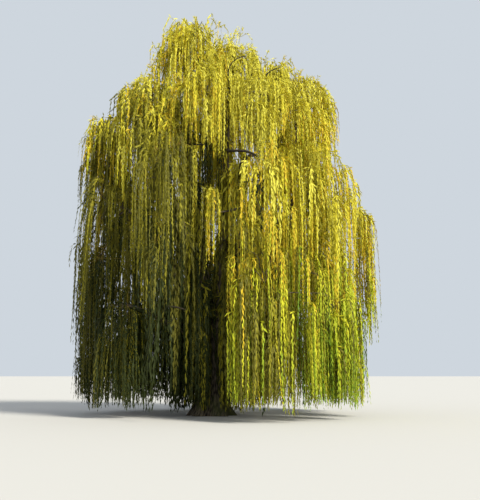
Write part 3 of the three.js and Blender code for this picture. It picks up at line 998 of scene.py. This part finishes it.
def crown_plan():
    """Everything that hangs in the crown, worked out once: masses, limbs, locks, twigs and shoots."""
    if not _plan:
        settings = bpy.context.scene.willow_shoots
        rng = np.random.default_rng(settings.seed)
        masses = [Mass(name) for name in FOLIAGE]
        courses = limb_courses()
        outer = outer_locks(masses, settings, rng)
        cover = Cover(settings.shoots_per_lock)
        cover.add(outer)
        outer = np.concatenate([outer, filling_locks(masses, cover, settings, rng)])
        arms = grow_arms(masses, courses)
        branches, girths, owners, twigs = grow_branches(
            masses, arms, outer[:, FOOT_X:END], outer[:, MASS].astype(int), rng)
        inner = inner_locks(courses, arms, branches, owners, cover, settings, rng)
        locks = np.concatenate([outer, inner])
        numbers = locks[:, MASS].astype(int)
        paths, lock, lengths = hang_shoots(locks, settings, rng)
        _plan.update(
            masses=masses, courses=courses, locks=locks, numbers=numbers, arms=arms, branches=branches,
            girths=girths, twigs=twigs, paths=paths, lock=lock, lengths=lengths)
    return _plan


# Bark


PLATE_ROWS = 61


def furrow_relief(around, along, columns, seed):
    """1 on the plates of the bark and 0 in its furrows.

    One point lies at random in each cell of a grid that closes round the limb. The relief rises with
    the gap between the distances to the nearest point and to the next nearest.
    """
    jitter = np.random.default_rng(seed).random((columns, PLATE_ROWS, 2))
    u, v = around * columns, along
    cell_u, cell_v = np.floor(u).astype(int), np.floor(v).astype(int)
    nearest = np.full(u.shape, 9.0)
    second = np.full(u.shape, 9.0)
    for step_u in (-1, 0, 1):
        for step_v in (-1, 0, 1):
            at_u, at_v = cell_u + step_u, cell_v + step_v
            point = jitter[at_u % columns, at_v % PLATE_ROWS]
            shift = 0.5 * (at_u % 2)
            distance = np.hypot(u - at_u - point[..., 0], v - at_v - shift - point[..., 1] * 0.8)
            second = np.minimum(second, np.maximum(nearest, distance))
            nearest = np.minimum(nearest, distance)
    return smooth_step(0.02, 0.4, second - nearest)


def wrapped_grid(rings, sides, first):
    """Triangles between neighbouring rings of corners, numbered from `first`, facing outwards."""
    low = first + np.arange(rings - 1)[:, None] * sides
    side = np.arange(sides)
    beside = (side + 1) % sides
    a, b, c, d = low + side, low + beside, low + sides + beside, low + sides + side
    return np.concatenate([np.stack([a, b, c], -1).reshape(-1, 3), np.stack([a, c, d], -1).reshape(-1, 3)])


# How far the trunk's fork lies beside its foot, the lobes of its flare, and its dome's height
LEAN = np.array([0.12, 0.05])
FLARE_LOBES = 6
CROTCH_RISE = 0.12


def trunk_surface(bark, rings=110, sides=168):
    """The trunk from its flat cut to its fork.

    At height z and angle a its radius is the taper, plus the flare that fades with height and swells
    in lobes, plus the bark's relief. Above the fork the rings close in over a low dome.
    """
    share = np.linspace(0, 1, rings) ** 1.25
    angle = 2 * np.pi * np.arange(sides) / sides
    height = (bark.fork_height * share)[:, None] + 0 * angle
    flare = bark.flare_reach * np.exp(-height / bark.flare_height)
    lobe = np.cos(FLARE_LOBES * angle + np.sin(2 * angle))[None]
    swell = 0.02 * np.cos(5 * angle[None] + height) + 0.015 * np.sin(3 * angle[None] - 1.7 * height)
    radius = bark.low_radius + (bark.top_radius - bark.low_radius) * share[:, None]
    radius = radius + flare * (1 + 0.4 * lobe) + swell
    columns = 2 * round(np.pi * bark.low_radius / bark.plate_width)
    wander = 0.05 * np.sin(2.1 * height + 3 * angle[None]) + 0.03 * np.sin(5.3 * height - 2 * angle[None])
    turn = (angle[None] / (2 * np.pi) + 0.25 * wander) % 1.0
    plates = furrow_relief(turn, height / bark.plate_length + 0.3 * lobe, columns, 5)
    fine = furrow_relief(turn, height / (0.4 * bark.plate_length), 2 * columns, 6)
    radius = radius + bark.furrow_depth * (plates - 1) + 0.2 * bark.furrow_depth * (fine - 1)
    leaning = LEAN[None] * share[:, None]
    x = leaning[:, :1] + radius * np.cos(angle)
    y = leaning[:, 1:] + radius * np.sin(angle)
    closing = np.cos(np.linspace(0, np.pi / 2, 12)[1:-1])[:, None]
    dome_x = LEAN[0] + closing * (x[-1] - LEAN[0])
    dome_y = LEAN[1] + closing * (y[-1] - LEAN[1])
    dome_z = bark.fork_height + CROTCH_RISE * np.sqrt(1 - closing**2) + 0 * dome_x
    rings_and_dome = ((x, dome_x), (y, dome_y), (height, dome_z))
    body = np.stack([np.concatenate(pair) for pair in rings_and_dome], -1)
    tall = len(body)
    poles = np.array([[0.0, 0.0, 0.0], [*LEAN, bark.fork_height + CROTCH_RISE]])
    corners = np.concatenate([poles, body.reshape(-1, 3)])
    side = np.arange(sides)
    beside = (side + 1) % sides
    last = 2 + (tall - 1) * sides
    faces = np.concatenate([
        wrapped_grid(tall, sides, 2),
        np.stack([0 * side, 2 + beside, 2 + side], -1),
        np.stack([0 * side + 1, last + side, last + beside], -1),
    ])
    relief = np.concatenate([[0.5, 0.5], plates.ravel(), np.tile(plates[-1], tall - rings)])
    return corners, faces, relief


def limb_surface(course, radius, bark, sides, seed):
    """A bough's bark: rings square to its course, at its radius plus the furrows' relief.

    The plates are as wide as on the trunk at its foot and narrower and shallower towards the tip, and a
    collar swells the foot.
    """
    steps = len(course)
    run = np.concatenate([[0], np.cumsum(np.linalg.norm(np.diff(course, axis=0), axis=1))])
    fine = np.linspace(0, run[-1], steps * 2)
    path = np.stack([np.interp(fine, run, course[:, k]) for k in range(3)], 1)
    girth = np.interp(fine, run, radius) * (1 + 0.3 * np.exp(-fine / 0.35))
    tangents = unit(np.gradient(path, axis=0))
    across = unit(np.cross(tangents, unit(np.array([0.3, 1.0, 0.1]))))
    upright = np.cross(tangents, across)
    angle = 2 * np.pi * np.arange(sides) / sides
    columns = max(6, 2 * round(np.pi * radius.max() / (0.8 * bark.plate_width)))
    turn = (angle[None] / (2 * np.pi) + 0.02 * np.sin(4 * fine)[:, None]) % 1.0
    relief = furrow_relief(turn, (fine / (0.75 * bark.plate_length))[:, None] + 0 * angle, columns, seed)
    depth = np.minimum(bark.furrow_depth * 0.7, 0.09 * girth)[:, None]
    swell = 0.05 * girth[:, None] * np.sin(2 * angle[None] + 1.3 * fine[:, None] + seed)
    size = girth[:, None] + depth * (relief - 1) + swell
    ring = np.cos(angle)[:, None] * across[:, None] + np.sin(angle)[:, None] * upright[:, None]
    body = path[:, None] + size[..., None] * ring
    corners = np.concatenate([body.reshape(-1, 3), path[:1], path[-1:]])
    side = np.arange(sides)
    beside = (side + 1) % sides
    pole, last = 2 * steps * sides, (2 * steps - 1) * sides
    faces = np.concatenate([
        wrapped_grid(2 * steps, sides, 0),
        np.stack([0 * side + pole, beside, side], -1),
        np.stack([0 * side + pole + 1, last + side, last + beside], -1),
    ])
    return corners, faces, np.concatenate([relief.ravel(), [0.5, 0.5]])


# Leaves and catkins


def along_shoots(paths, lengths, shoot, run):
    """The place and direction at a run along each named shoot, between its path's points."""
    share = run / lengths[shoot]
    step = np.clip(np.searchsorted(SHOOT_STEPS, share, side="right") - 1, 0, len(SHOOT_STEPS) - 2)
    part = ((share - SHOOT_STEPS[step]) / (SHOOT_STEPS[step + 1] - SHOOT_STEPS[step]))[:, None]
    start, end = paths[shoot, step], paths[shoot, step + 1]
    return start + part * (end - start), unit(end - start)


def facing_out(places, locks):
    """Out from the tree's axis, out from the lock's own axis, and up, added together."""
    middle = locks[:, FOOT_X:START] + locks[:, REACH, None] * locks[:, OUT_X:REACH]
    from_lock = (places[:, :2] - middle) / 0.2
    from_lock = from_lock / np.maximum(np.linalg.norm(from_lock, axis=1, keepdims=True), 1)
    level = 0.6 * unit(places[:, :2]) + 0.8 * from_lock
    return np.concatenate([level, np.full((len(places), 1), 0.4)], 1)


# Where a leaf is widest, and how far its tip droops, as shares of its length
WIDEST_AT = 0.42
DROOP = 0.06


def leaf_mesh(places, headings, outward, run, shoot_leaf, sizes, leaves, rng):
    """Slim kite-shaped leaves, each folded a little along its midrib.

    A leaf points on along the shoot and out to one side, less so down the shoot, the next a golden
    angle further round, and turns its face more or less outwards. Its corners are the stalk, the two
    sides of the blade where it is widest, and the tip.
    """
    count = len(places)
    turn = GOLDEN_ANGLE * shoot_leaf + rng.uniform(-0.5, 0.5, count)
    radial = np.stack([np.cos(turn), np.sin(turn), np.zeros(count)], 1)
    radial = unit(radial - (radial * headings).sum(1, keepdims=True) * headings)
    spread = np.radians(rng.uniform(6, 38 - 20 * smooth_step(0.3, 1.2, run)))[:, None]
    blade = unit(np.cos(spread) * headings + np.sin(spread) * radial + 0.12 * DOWN)
    face = unit(outward - (outward * blade).sum(1, keepdims=True) * blade)
    side = np.cross(blade, face)
    twist = rng.normal(scale=leaves.twist, size=(count, 1))
    side, face = (
        np.cos(twist) * side + np.sin(twist) * face,
        np.cos(twist) * face - np.sin(twist) * side,
    )
    long = sizes[:, None]
    wide = long * leaves.slimness / 2
    middle = places + WIDEST_AT * long * blade + leaves.fold * wide * face
    tip = places + long * blade + DROOP * long * DOWN
    corners = np.stack([places, middle + wide * side, tip, middle - wide * side], 1)
    first = 4 * np.arange(count)[:, None]
    faces = np.stack([first + [0, 1, 2], first + [0, 2, 3]], 1)
    return corners.reshape(-1, 3), faces.reshape(-1, 3)


LEAF_COLOURS = (
    "straw", "gold", "amber", "yellow", "yellow_green", "lime", "fresh_green",
    "olive_gold", "olive", "deep_olive",
)
# The bright colours come first, from gold to green, and then the dull ones, which are also dealt out as
# painted shade
BRIGHT = 7
# Where sprays at the front differ: x, z, size, a shift towards green, and how many more are dull, which
# paints shade; where fewer are dull, it paints light
TONE_ACCENTS = (
    (4.9, 6.2, 1.3, -0.22, 0.0),
    (3.3, 3.3, 0.8, 0.22, 0.0),
    (1.2, 5.0, 1.0, -0.12, 0.35),
    (1.9, 1.6, 1.4, -0.1, 0.72),
    (6.2, 4.6, 1.2, 0.3, 0.15),
    (0.0, 7.0, 1.0, 0.0, 0.75),
    (0.9, 3.4, 1.1, -0.16, 0.32),
    (1.7, 11.2, 1.8, -0.12, -0.35),
    (-1.5, 7.7, 1.4, 0.0, 0.45),
    (4.2, 4.6, 1.2, 0.0, 0.4),
)


def spray_tones(plan, shoot, share, rng):
    """A leaf's colour number, dealt out by spray: golden high up and at the top of a lock, greener low
    down and towards the tips, with whole locks and single shoots dull beside their neighbours.

    Dull and olive sprays also stand for painted shade: most dull locks hang low, at the left, behind
    and inside the crown and round the recess, and the darkest olive is painted shade in the hollow.
    """
    locks, lock = plan["locks"], plan["lock"]
    count = len(locks)
    x, y, start, end = locks[:, FOOT_X], locks[:, FOOT_Y], locks[:, START], locks[:, END]
    middle = (start + end) / 2
    high = smooth_step(2.5, 9.5, start)
    low = 1 - high
    # Painted shade: sprays are darkened at the back of the crown, and on its left side below the top, which
    # is turned from the main light; most low down, least at the back
    behind = smooth_step(0.5, 3.5, y)
    left = smooth_step(0.3, -1.7, x) * smooth_step(13.5, 10.5, start)
    left = left * (0.7 + 0.3 * smooth_step(8.5, 5.5, middle)) * (1 - 0.5 * behind)

    wave = np.sin(1.1 * x + 0.7) * np.sin(0.8 * start + 1.9 * y)
    green = 0.7 - 0.52 * high + 0.1 * wave + rng.normal(scale=0.085, size=count)
    green = green + 0.1 * left * low - 0.07 * smooth_step(11.5, 14.0, start)
    accent_painted_shade = np.zeros(count)
    for accent_x, accent_z, size, shift, dull in TONE_ACCENTS:
        near = np.exp(-((x - accent_x) ** 2 + (middle - accent_z) ** 2) / size**2) * (y < 0)
        green = green + shift * near
        accent_painted_shade = accent_painted_shade + dull * near
    own = rng.normal(scale=0.065, size=len(lock))
    tone = green[lock[shoot]] + own[shoot] + 0.2 * (share - 0.4) + rng.normal(scale=0.03, size=len(shoot))
    number = np.clip((tone * BRIGHT).astype(int), 0, BRIGHT - 1)

    # Painted shade: inner sprays low down, at the left and round the recess, and all sprays behind the
    # hollow, get dull and olive colours more often; a few dull sprays also come at random everywhere
    inside = locks[:, KIND] == INNER
    recess = smooth_step(1.2, 0.6, np.abs(x)) * smooth_step(9.5, 8.0, middle)
    inner_painted_shade = inside * (0.1 + 0.35 * low + 0.25 * left + 0.5 * recess)
    dullness_and_painted_shade = 0.04 + 0.85 * left + 0.2 * behind + 0.12 * low + 0.5 * left * low + inner_painted_shade + accent_painted_shade
    dull = rng.random(len(lock)) < (0.5 * dullness_and_painted_shade + 0.5 * (rng.random(count) < dullness_and_painted_shade))[lock]
    shaded = crosses_hollow(x, y, start, end) & (np.abs(y) < 2)
    dull = dull | shaded[lock]
    olive = 0.1 + 0.6 * low + 0.5 * left + 0.1 * inside + shaded
    deep_olive = 0.03 + 0.8 * low * left + 0.6 * inside * np.maximum(low, left) + shaded
    deeper = BRIGHT + (rng.random(len(lock)) < olive[lock]) + (rng.random(len(lock)) < deep_olive[lock])
    return np.where(dull[shoot], deeper[shoot], number)


# Materials


def new_tree(name):
    """A new material with its node tree and its Principled shader."""
    material = bpy.data.materials.new(name)
    material.use_nodes = True
    tree = material.node_tree
    shader = tree.nodes["Principled BSDF"]
    return material, tree, shader


def group_tree(name, inputs, outputs):
    """A shader node group with named inputs, each with a kind and a default, and named outputs."""
    tree = bpy.data.node_groups.new(name, "ShaderNodeTree")
    for label, kind, default in inputs:
        socket = tree.interface.new_socket(label, in_out="INPUT", socket_type=kind)
        socket.default_value = default
    for label, kind in outputs:
        tree.interface.new_socket(label, in_out="OUTPUT", socket_type=kind)
    return tree, tree.nodes.new("NodeGroupInput"), tree.nodes.new("NodeGroupOutput")


def noise(tree, vector, scale, detail=4.0):
    """Noise at a scale in cells to a metre."""
    node = tree.nodes.new("ShaderNodeTexNoise")
    node.inputs["Scale"].default_value = scale
    node.inputs["Detail"].default_value = detail
    tree.links.new(vector, node.inputs["Vector"])
    return node.outputs["Fac"]


def stretched(tree, vector, scale):
    """The coordinates, scaled apart along x, y and z."""
    node = tree.nodes.new("ShaderNodeMapping")
    node.inputs["Scale"].default_value = scale
    tree.links.new(vector, node.inputs["Vector"])
    return node.outputs["Vector"]


def ranged(tree, value, low, high, to_low, to_high):
    """A value carried from one range to another along an S curve."""
    node = tree.nodes.new("ShaderNodeMapRange")
    node.interpolation_type = "SMOOTHSTEP"
    labels = ("From Min", "From Max", "To Min", "To Max")
    for label, number in zip(labels, (low, high, to_low, to_high)):
        node.inputs[label].default_value = number
    tree.links.new(value, node.inputs["Value"])
    return node.outputs["Result"]


def mixed(tree, factor, first, second):
    """Two colours mixed by a factor."""
    node = tree.nodes.new("ShaderNodeMix")
    node.data_type = "RGBA"
    sockets = (node.inputs[label] for label in ("Factor", "A", "B"))
    for socket, value in zip(sockets, (factor, first, second)):
        if hasattr(value, "is_output"):
            tree.links.new(value, socket)
        else:
            socket.default_value = value
    return node.outputs["Result"]


def maths(tree, operation, first, second):
    """Two numbers put together by a Math node."""
    node = tree.nodes.new("ShaderNodeMath")
    node.operation = operation
    for socket, value in zip(node.inputs, (first, second)):
        if hasattr(value, "is_output"):
            tree.links.new(value, socket)
        else:
            socket.default_value = value
    return node.outputs[0]


def bark_group():
    """Bark colour, roughness and height from the furrow mask and stretched noise on Object
    coordinates, with a green film in patches that fade with height."""
    found = bpy.data.node_groups.get("willow_bark")
    if found:
        return found
    black = (0, 0, 0, 1)
    tree, into, out = group_tree(
        "willow_bark",
        [("Plate", "NodeSocketFloat", 0.5), ("Ridge", "NodeSocketColor", black),
         ("Furrow", "NodeSocketColor", black), ("Algae", "NodeSocketColor", black),
         ("Algae Height", "NodeSocketFloat", 2.0)],
        [("Color", "NodeSocketColor"), ("Roughness", "NodeSocketFloat"), ("Height", "NodeSocketFloat")],
    )
    place = tree.nodes.new("ShaderNodeTexCoord").outputs["Object"]
    grain = noise(tree, stretched(tree, place, (1, 1, 0.22)), 26.0, 6.0)
    patches = noise(tree, place, 1.7, 3.0)
    specks = noise(tree, place, 60.0, 2.0)
    shown = maths(tree, "MULTIPLY", into.outputs["Plate"], ranged(tree, grain, 0.3, 0.62, 0.45, 1.0))
    bark = mixed(tree, shown, into.outputs["Furrow"], into.outputs["Ridge"])
    split = tree.nodes.new("ShaderNodeSeparateXYZ")
    tree.links.new(place, split.inputs[0])
    low = maths(tree, "DIVIDE", split.outputs["Z"], into.outputs["Algae Height"])
    by_height = ranged(tree, low, 0.0, 1.0, 1.0, 0.12)
    film = maths(tree, "MULTIPLY", by_height, ranged(tree, patches, 0.42, 0.68, 0.0, 0.8))
    tree.links.new(mixed(tree, film, bark, into.outputs["Algae"]), out.inputs["Color"])
    tree.links.new(ranged(tree, specks, 0.2, 0.8, 0.78, 0.97), out.inputs["Roughness"])
    tree.links.new(maths(tree, "ADD", grain, maths(tree, "MULTIPLY", specks, 0.3)), out.inputs["Height"])
    return tree


def bark_material(name, bark, algae_height, bump):
    """Bark on the Principled shader: colour, roughness and bump from the bark group."""
    material, tree, shader = new_tree(name)
    group = tree.nodes.new("ShaderNodeGroup")
    group.node_tree = bark_group()
    plate = tree.nodes.new("ShaderNodeAttribute")
    plate.attribute_name = "plate"
    tree.links.new(plate.outputs["Fac"], group.inputs["Plate"])
    for label in ("Ridge", "Furrow", "Algae"):
        colour = getattr(bark, f"{label.lower()}_colour")
        group.inputs[label].default_value = (*colour, 1)
    group.inputs["Algae Height"].default_value = algae_height
    raised = tree.nodes.new("ShaderNodeBump")
    raised.inputs["Strength"].default_value = bump
    raised.inputs["Distance"].default_value = 0.01
    tree.links.new(group.outputs["Height"], raised.inputs["Height"])
    tree.links.new(group.outputs["Color"], shader.inputs["Base Color"])
    tree.links.new(group.outputs["Roughness"], shader.inputs["Roughness"])
    tree.links.new(raised.outputs["Normal"], shader.inputs["Normal"])
    shader.inputs["Specular IOR Level"].default_value = 0.25
    return material


def plain_growth(name, colour, roughness, specular):
    """A leaf, twig or catkin colour: one plain colour, as sprays are told apart by material."""
    material, _, shader = new_tree(name)
    shader.inputs["Base Color"].default_value = (*colour, 1)
    shader.inputs["Roughness"].default_value = roughness
    shader.inputs["Specular IOR Level"].default_value = specular
    return material


# Operators, one for each piece or group of like pieces


# How many sides the tubes have
BOUGH_SIDES = 22
ARM_SIDES = 9
BRANCH_SIDES = 5
BARE_SIDES = 8
SHOOT_SIDES = 3
CATKIN_SIDES = 4
# Bare limbs keep this share of the plates' light colour, so that they look dark: painted shade, as of limbs
# deep in the crown's shade
BARE_PLATES_PAINTED_SHADE = 0.1
# A twig's radius at its root and at its tip, in metres
TWIG_RADII = (0.0085, 0.0055)
SHOOT_TAPER = 0.6
# A shoot's colour is this share of its leaf colour; the share of locks with olive shoots
SHOOT_SHADE = 0.8
OLIVE_SHARE = 0.4


class WILLOW_OT_trunk(bpy.types.Operator):
    """Model the trunk with its root flare and furrowed bark"""

    bl_idname = "willow.trunk"
    bl_label = "Trunk"

    def execute(self, context):
        bark = context.scene.willow_bark
        corners, faces, relief = trunk_surface(bark)
        material = bark_material("trunk_bark", bark, 2.4, 0.5)
        piece = make_piece("trunk_with_bark", corners, faces, [material], values={"plate": relief})
        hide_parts("trunk")
        return {"FINISHED"}


class WILLOW_OT_boughs(bpy.types.Operator):
    """Model the main boughs with shallower bark"""

    bl_idname = "willow.boughs"
    bl_label = "Boughs"

    def execute(self, context):
        bark = context.scene.willow_bark
        meshes, reliefs = [], []
        for seed, (course, radius) in enumerate(crown_plan()["courses"].values()):
            corners, faces, relief = limb_surface(course, radius, bark, BOUGH_SIDES, seed + 20)
            meshes.append((corners, faces))
            reliefs.append(relief)
        corners, faces = joined(meshes)
        material = bark_material("bough_bark", bark, 5.0, 0.4)
        plates = {"plate": np.concatenate(reliefs)}
        piece = make_piece("boughs_with_bark", corners, faces, [material], values=plates)
        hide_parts(*BOUGHS)
        return {"FINISHED"}


class WILLOW_OT_branches(bpy.types.Operator):
    """Grow arms, branches and twigs through the masses of foliage"""

    bl_idname = "willow.branches"
    bl_label = "Branches and twigs"

    def execute(self, context):
        bark = context.scene.willow_bark
        plan = crown_plan()
        arms = np.array([path for path, _ in plan["arms"].values()])
        arm_girths = np.array([radius for _, radius in plan["arms"].values()])
        bare, bare_girths = bare_limbs(plan["courses"])
        meshes = [
            tube_mesh(arms, arm_girths, ARM_SIDES),
            tube_mesh(plan["branches"], plan["girths"], BRANCH_SIDES),
            tube_mesh(bare, bare_girths, BARE_SIDES),
        ]
        corners, faces = joined(meshes)
        rng = np.random.default_rng(3)
        relief = rng.uniform(0.3, 1.0, len(corners))
        # Painted shade: the bare limbs are coloured almost wholly in the furrows' dark colour
        relief[-len(meshes[2][0]):] *= BARE_PLATES_PAINTED_SHADE
        wood = bark_material("branch_bark", bark, 6.0, 0.2)
        piece = make_piece("branches", corners, faces, [wood], values={"plate": relief})
        count, steps = plan["twigs"].shape[:2]
        girth = np.linspace(*TWIG_RADII, steps)[None] + np.zeros((count, 1))
        corners, faces = tube_mesh(plan["twigs"], girth, SHOOT_SIDES)
        young = plain_growth("twig_bark", bark.twig_colour, 0.6, 0.3)
        piece = make_piece("twigs", corners, faces, [young])
        return {"FINISHED"}


class WILLOW_OT_shoots(bpy.types.Operator):
    """Hang the long shoots"""

    bl_idname = "willow.shoots"
    bl_label = "Hanging shoots"

    def execute(self, context):
        shoots = context.scene.willow_shoots
        colours = context.scene.willow_colours
        plan = crown_plan()
        taper = 1 - SHOOT_TAPER * SHOOT_STEPS
        radii = shoots.shoot_radius * taper[None] + np.zeros((len(plan["paths"]), 1))
        inside = plan["locks"][plan["lock"], KIND] == INNER
        meshes, shoot = [], []
        for mine, every in ((~inside, 1), (inside, 2)):
            mesh = tube_mesh(plan["paths"][mine][:, ::every], radii[mine][:, ::every], SHOOT_SIDES)
            meshes.append(mesh)
            shoot.append(np.repeat(np.flatnonzero(mine), len(mesh[1]) // mine.sum()))
        shoot = np.concatenate(shoot)
        corners, faces = joined(meshes)
        materials = [
            plain_growth("shoot_gold", np.array(colours.gold) * SHOOT_SHADE, 0.5, 0.35),
            plain_growth("shoot_olive", np.array(colours.olive_gold) * SHOOT_SHADE, 0.5, 0.35),
        ]
        rng = np.random.default_rng(shoots.seed + 1)
        kind = (rng.random(len(plan["locks"])) < OLIVE_SHARE).astype(int)[plan["lock"]]
        slots = kind[shoot]
        high = (plan["locks"][plan["lock"], START] > shoots.upper_tier)[shoot]
        for label, mine, slot in (("upper", high, "sunlit_shoots"), ("lower", ~high, "fresh_shoots")):
            used, numbered = np.unique(faces[mine], return_inverse=True)
            piece = make_piece(
                f"hanging_shoots_{label}", corners[used], numbered.reshape(-1, 3), materials, slots[mine])
        return {"FINISHED"}


# Masses whose top lies under this height carry the curtains' leaves, and those left of this the left pieces'
CURTAIN_TOP = 8.3
LEFT_OF = 0.6
# A filling lock's leaves grow by this share of what an inner lock's do
FILLING_GROWTH = 0.3
# Catkins sit on the upper part of a shoot, and have this radius, as a share of their length
CATKIN_PART = 0.7
CATKIN_GIRTH = 0.16


def leaf_group(mass):
    """Which piece a mass's leaves are joined into: its material slot, and its tier of the crown."""
    tier = "crown" if mass.in_crown else "curtains" if mass.high[2] < CURTAIN_TOP else "cascades"
    side = "left" if mass.middle[0] < LEFT_OF else "right"
    return f"{mass.slot}_{tier}_{side}"


class WILLOW_OT_leaves(bpy.types.Operator):
    """Set the hanging shoots with young leaves, coloured spray by spray"""

    bl_idname = "willow.leaves"
    bl_label = "Leaves"

    def execute(self, context):
        leaves = context.scene.willow_leaves
        colours = context.scene.willow_colours
        plan = crown_plan()
        rng = np.random.default_rng(context.scene.willow_shoots.seed + 2)
        lengths = plan["lengths"]
        kind = plan["locks"][plan["lock"], KIND]
        growth = 1 + leaves.inner_growth * np.where(kind == FILLING, FILLING_GROWTH, kind)
        spacing = leaves.spacing * growth
        each = np.maximum(3, (lengths / spacing).astype(int))
        shoot = np.repeat(np.arange(len(lengths)), each)
        order = np.arange(len(shoot)) - np.repeat(np.cumsum(each) - each, each)
        share = (order + rng.random(len(shoot))) / each[shoot]
        share = 0.02 + 0.98 * np.minimum(share, 0.999)
        run = share * lengths[shoot]
        places, headings = along_shoots(plan["paths"], lengths, shoot, run)
        outward = facing_out(places, plan["locks"][plan["lock"][shoot]])
        sizes = leaves.length * rng.uniform(0.7, 1.15, len(shoot)) * (1 - 0.45 * share**3)
        tones = spray_tones(plan, shoot, share, rng)
        sizes = sizes * growth[shoot]
        materials = [plain_growth(f"leaf_{name}", getattr(colours, name), 0.6, 0.2) for name in LEAF_COLOURS]
        group_of_mass = np.array([leaf_group(mass) for mass in plan["masses"]])
        group = group_of_mass[plan["numbers"]][plan["lock"]][shoot]
        for label in sorted(set(group_of_mass)):
            mine = group == label
            corners, faces = leaf_mesh(
                places[mine], headings[mine], outward[mine], run[mine], order[mine], sizes[mine], leaves, rng)
            piece = make_piece(
                f"leaves_{label}", corners, faces, materials, np.repeat(tones[mine], 2), smooth=False)
            held = [mass for mass in plan["masses"] if leaf_group(mass) == label]
            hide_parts(*(mass.name for mass in held))
        return {"FINISHED"}


class WILLOW_OT_catkins(bpy.types.Operator):
    """Add the small upright catkins"""

    bl_idname = "willow.catkins"
    bl_label = "Catkins"

    def execute(self, context):
        leaves = context.scene.willow_leaves
        plan = crown_plan()
        rng = np.random.default_rng(context.scene.willow_shoots.seed + 3)
        lengths = plan["lengths"]
        each = rng.poisson(CATKIN_PART * lengths / leaves.catkin_spacing)
        shoot = np.repeat(np.arange(len(lengths)), each)
        run = rng.uniform(0.02, CATKIN_PART, len(shoot)) * lengths[shoot]
        places, _ = along_shoots(plan["paths"], lengths, shoot, run)
        turn = rng.uniform(0, 2 * np.pi, len(shoot))
        out = unit(np.stack([np.cos(turn), np.sin(turn), rng.uniform(0.1, 0.7, len(shoot))], 1))
        long = (leaves.catkin_length * rng.uniform(0.7, 1.2, len(shoot)))[:, None]
        paths = places[:, None] + out[:, None] * long[:, None] * np.array([0.0, 0.5, 1.0])[None, :, None]
        radii = np.array([0.25, 1.0, 0.0])[None] * CATKIN_GIRTH * long
        corners, faces = tube_mesh(paths, radii, CATKIN_SIDES)
        material = plain_growth("catkin", context.scene.willow_colours.catkin, 0.8, 0.1)
        piece = make_piece("catkins", corners, faces, [material])
        return {"FINISHED"}


FLOOR_HALF = 260.0
SKY_LIGHT = srgb(222, 230, 242)
BACKDROP = srgb(206, 214, 222)
SUNLIGHT = srgb(255, 251, 240)
# Where the main light comes from, and how wide it is seen to be
SUN_FROM = (0.53, -0.56, 0.64)
SUN_WIDTH = math.radians(14)


class WILLOW_OT_stage(bpy.types.Operator):
    """Set the pale floor, the soft light and the camera"""

    bl_idname = "willow.stage"
    bl_label = "Stage"

    def execute(self, context):
        stage = context.scene.willow_stage
        scene = context.scene
        corners = FLOOR_HALF * np.array([[-1, -1, 0], [1, -1, 0], [1, 1, 0], [-1, 1, 0]])
        mesh = bpy.data.meshes.new("floor")
        mesh.from_pydata(corners.tolist(), [], [(0, 1, 2, 3)])
        floor = bpy.data.objects.new("floor", mesh)
        scene.collection.objects.link(floor)
        mesh.materials.append(plain_growth("floor", stage.floor_colour, 0.9, 0.1))

        world = bpy.data.worlds.new("surroundings")
        world.use_nodes = True
        tree = world.node_tree
        fill = tree.nodes["Background"]
        fill.inputs["Color"].default_value = (*SKY_LIGHT, 1)
        fill.inputs["Strength"].default_value = stage.fill_strength
        backdrop = tree.nodes.new("ShaderNodeBackground")
        backdrop.inputs["Color"].default_value = (*BACKDROP, 1)
        choice = tree.nodes.new("ShaderNodeMixShader")
        seen = tree.nodes.new("ShaderNodeLightPath")
        tree.links.new(seen.outputs["Is Camera Ray"], choice.inputs["Fac"])
        tree.links.new(fill.outputs["Background"], choice.inputs[1])
        tree.links.new(backdrop.outputs["Background"], choice.inputs[2])
        tree.links.new(choice.outputs["Shader"], tree.nodes["World Output"].inputs["Surface"])
        scene.world = world

        key = bpy.data.lights.new("key", "SUN")
        key.energy = stage.key_strength
        key.angle = SUN_WIDTH
        key.color = SUNLIGHT
        lamp = bpy.data.objects.new("key", key)
        lamp.location = (30, -30, 40)
        lamp.rotation_euler = Vector(SUN_FROM).to_track_quat("Z", "Y").to_euler()
        scene.collection.objects.link(lamp)

        eye = bpy.data.cameras.new("camera")
        eye.lens = stage.lens
        eye.clip_end = 2000
        camera = bpy.data.objects.new("camera", eye)
        camera.location = (stage.sideways, -stage.distance, stage.eye_height)
        camera.rotation_euler = (math.pi / 2 + stage.tilt, 0, 0)
        scene.collection.objects.link(camera)
        scene.camera = camera
        scene.view_settings.view_transform = "Standard"
        return {"FINISHED"}


class VIEW3D_PT_willow(bpy.types.Panel):
    """The willow's pieces, in the order in which they are made"""

    bl_label = "Willow"
    bl_space_type = "VIEW_3D"
    bl_region_type = "UI"
    bl_category = "Willow"

    def draw(self, context):
        for operator in OPERATORS:
            self.layout.operator(operator.bl_idname)
        for settings, kind in SETTINGS.items():
            box = self.layout.box()
            for key in kind.__annotations__:
                box.prop(getattr(context.scene, settings), key)


OPERATORS = (
    WILLOW_OT_stage,
    WILLOW_OT_trunk,
    WILLOW_OT_boughs,
    WILLOW_OT_branches,
    WILLOW_OT_shoots,
    WILLOW_OT_leaves,
    WILLOW_OT_catkins,
)
SETTINGS = {
    "willow_bark": WillowBark,
    "willow_shoots": WillowShoots,
    "willow_leaves": WillowLeaves,
    "willow_colours": WillowColours,
    "willow_stage": WillowStage,
}


def register():
    for kind in (*SETTINGS.values(), *OPERATORS, VIEW3D_PT_willow):
        bpy.utils.register_class(kind)
    for name, kind in SETTINGS.items():
        setattr(bpy.types.Scene, name, PointerProperty(type=kind))


def unregister():
    for name in SETTINGS:
        delattr(bpy.types.Scene, name)
    for kind in (VIEW3D_PT_willow, *OPERATORS, *SETTINGS.values()):
        bpy.utils.unregister_class(kind)


def main():
    """Makes every piece in order."""
    register()
    bpy.ops.willow.stage()
    bpy.ops.willow.trunk()
    bpy.ops.willow.boughs()
    bpy.ops.willow.branches()
    bpy.ops.willow.shoots()
    bpy.ops.willow.leaves()
    bpy.ops.willow.catkins()


if __name__ == "__main__":
    main()
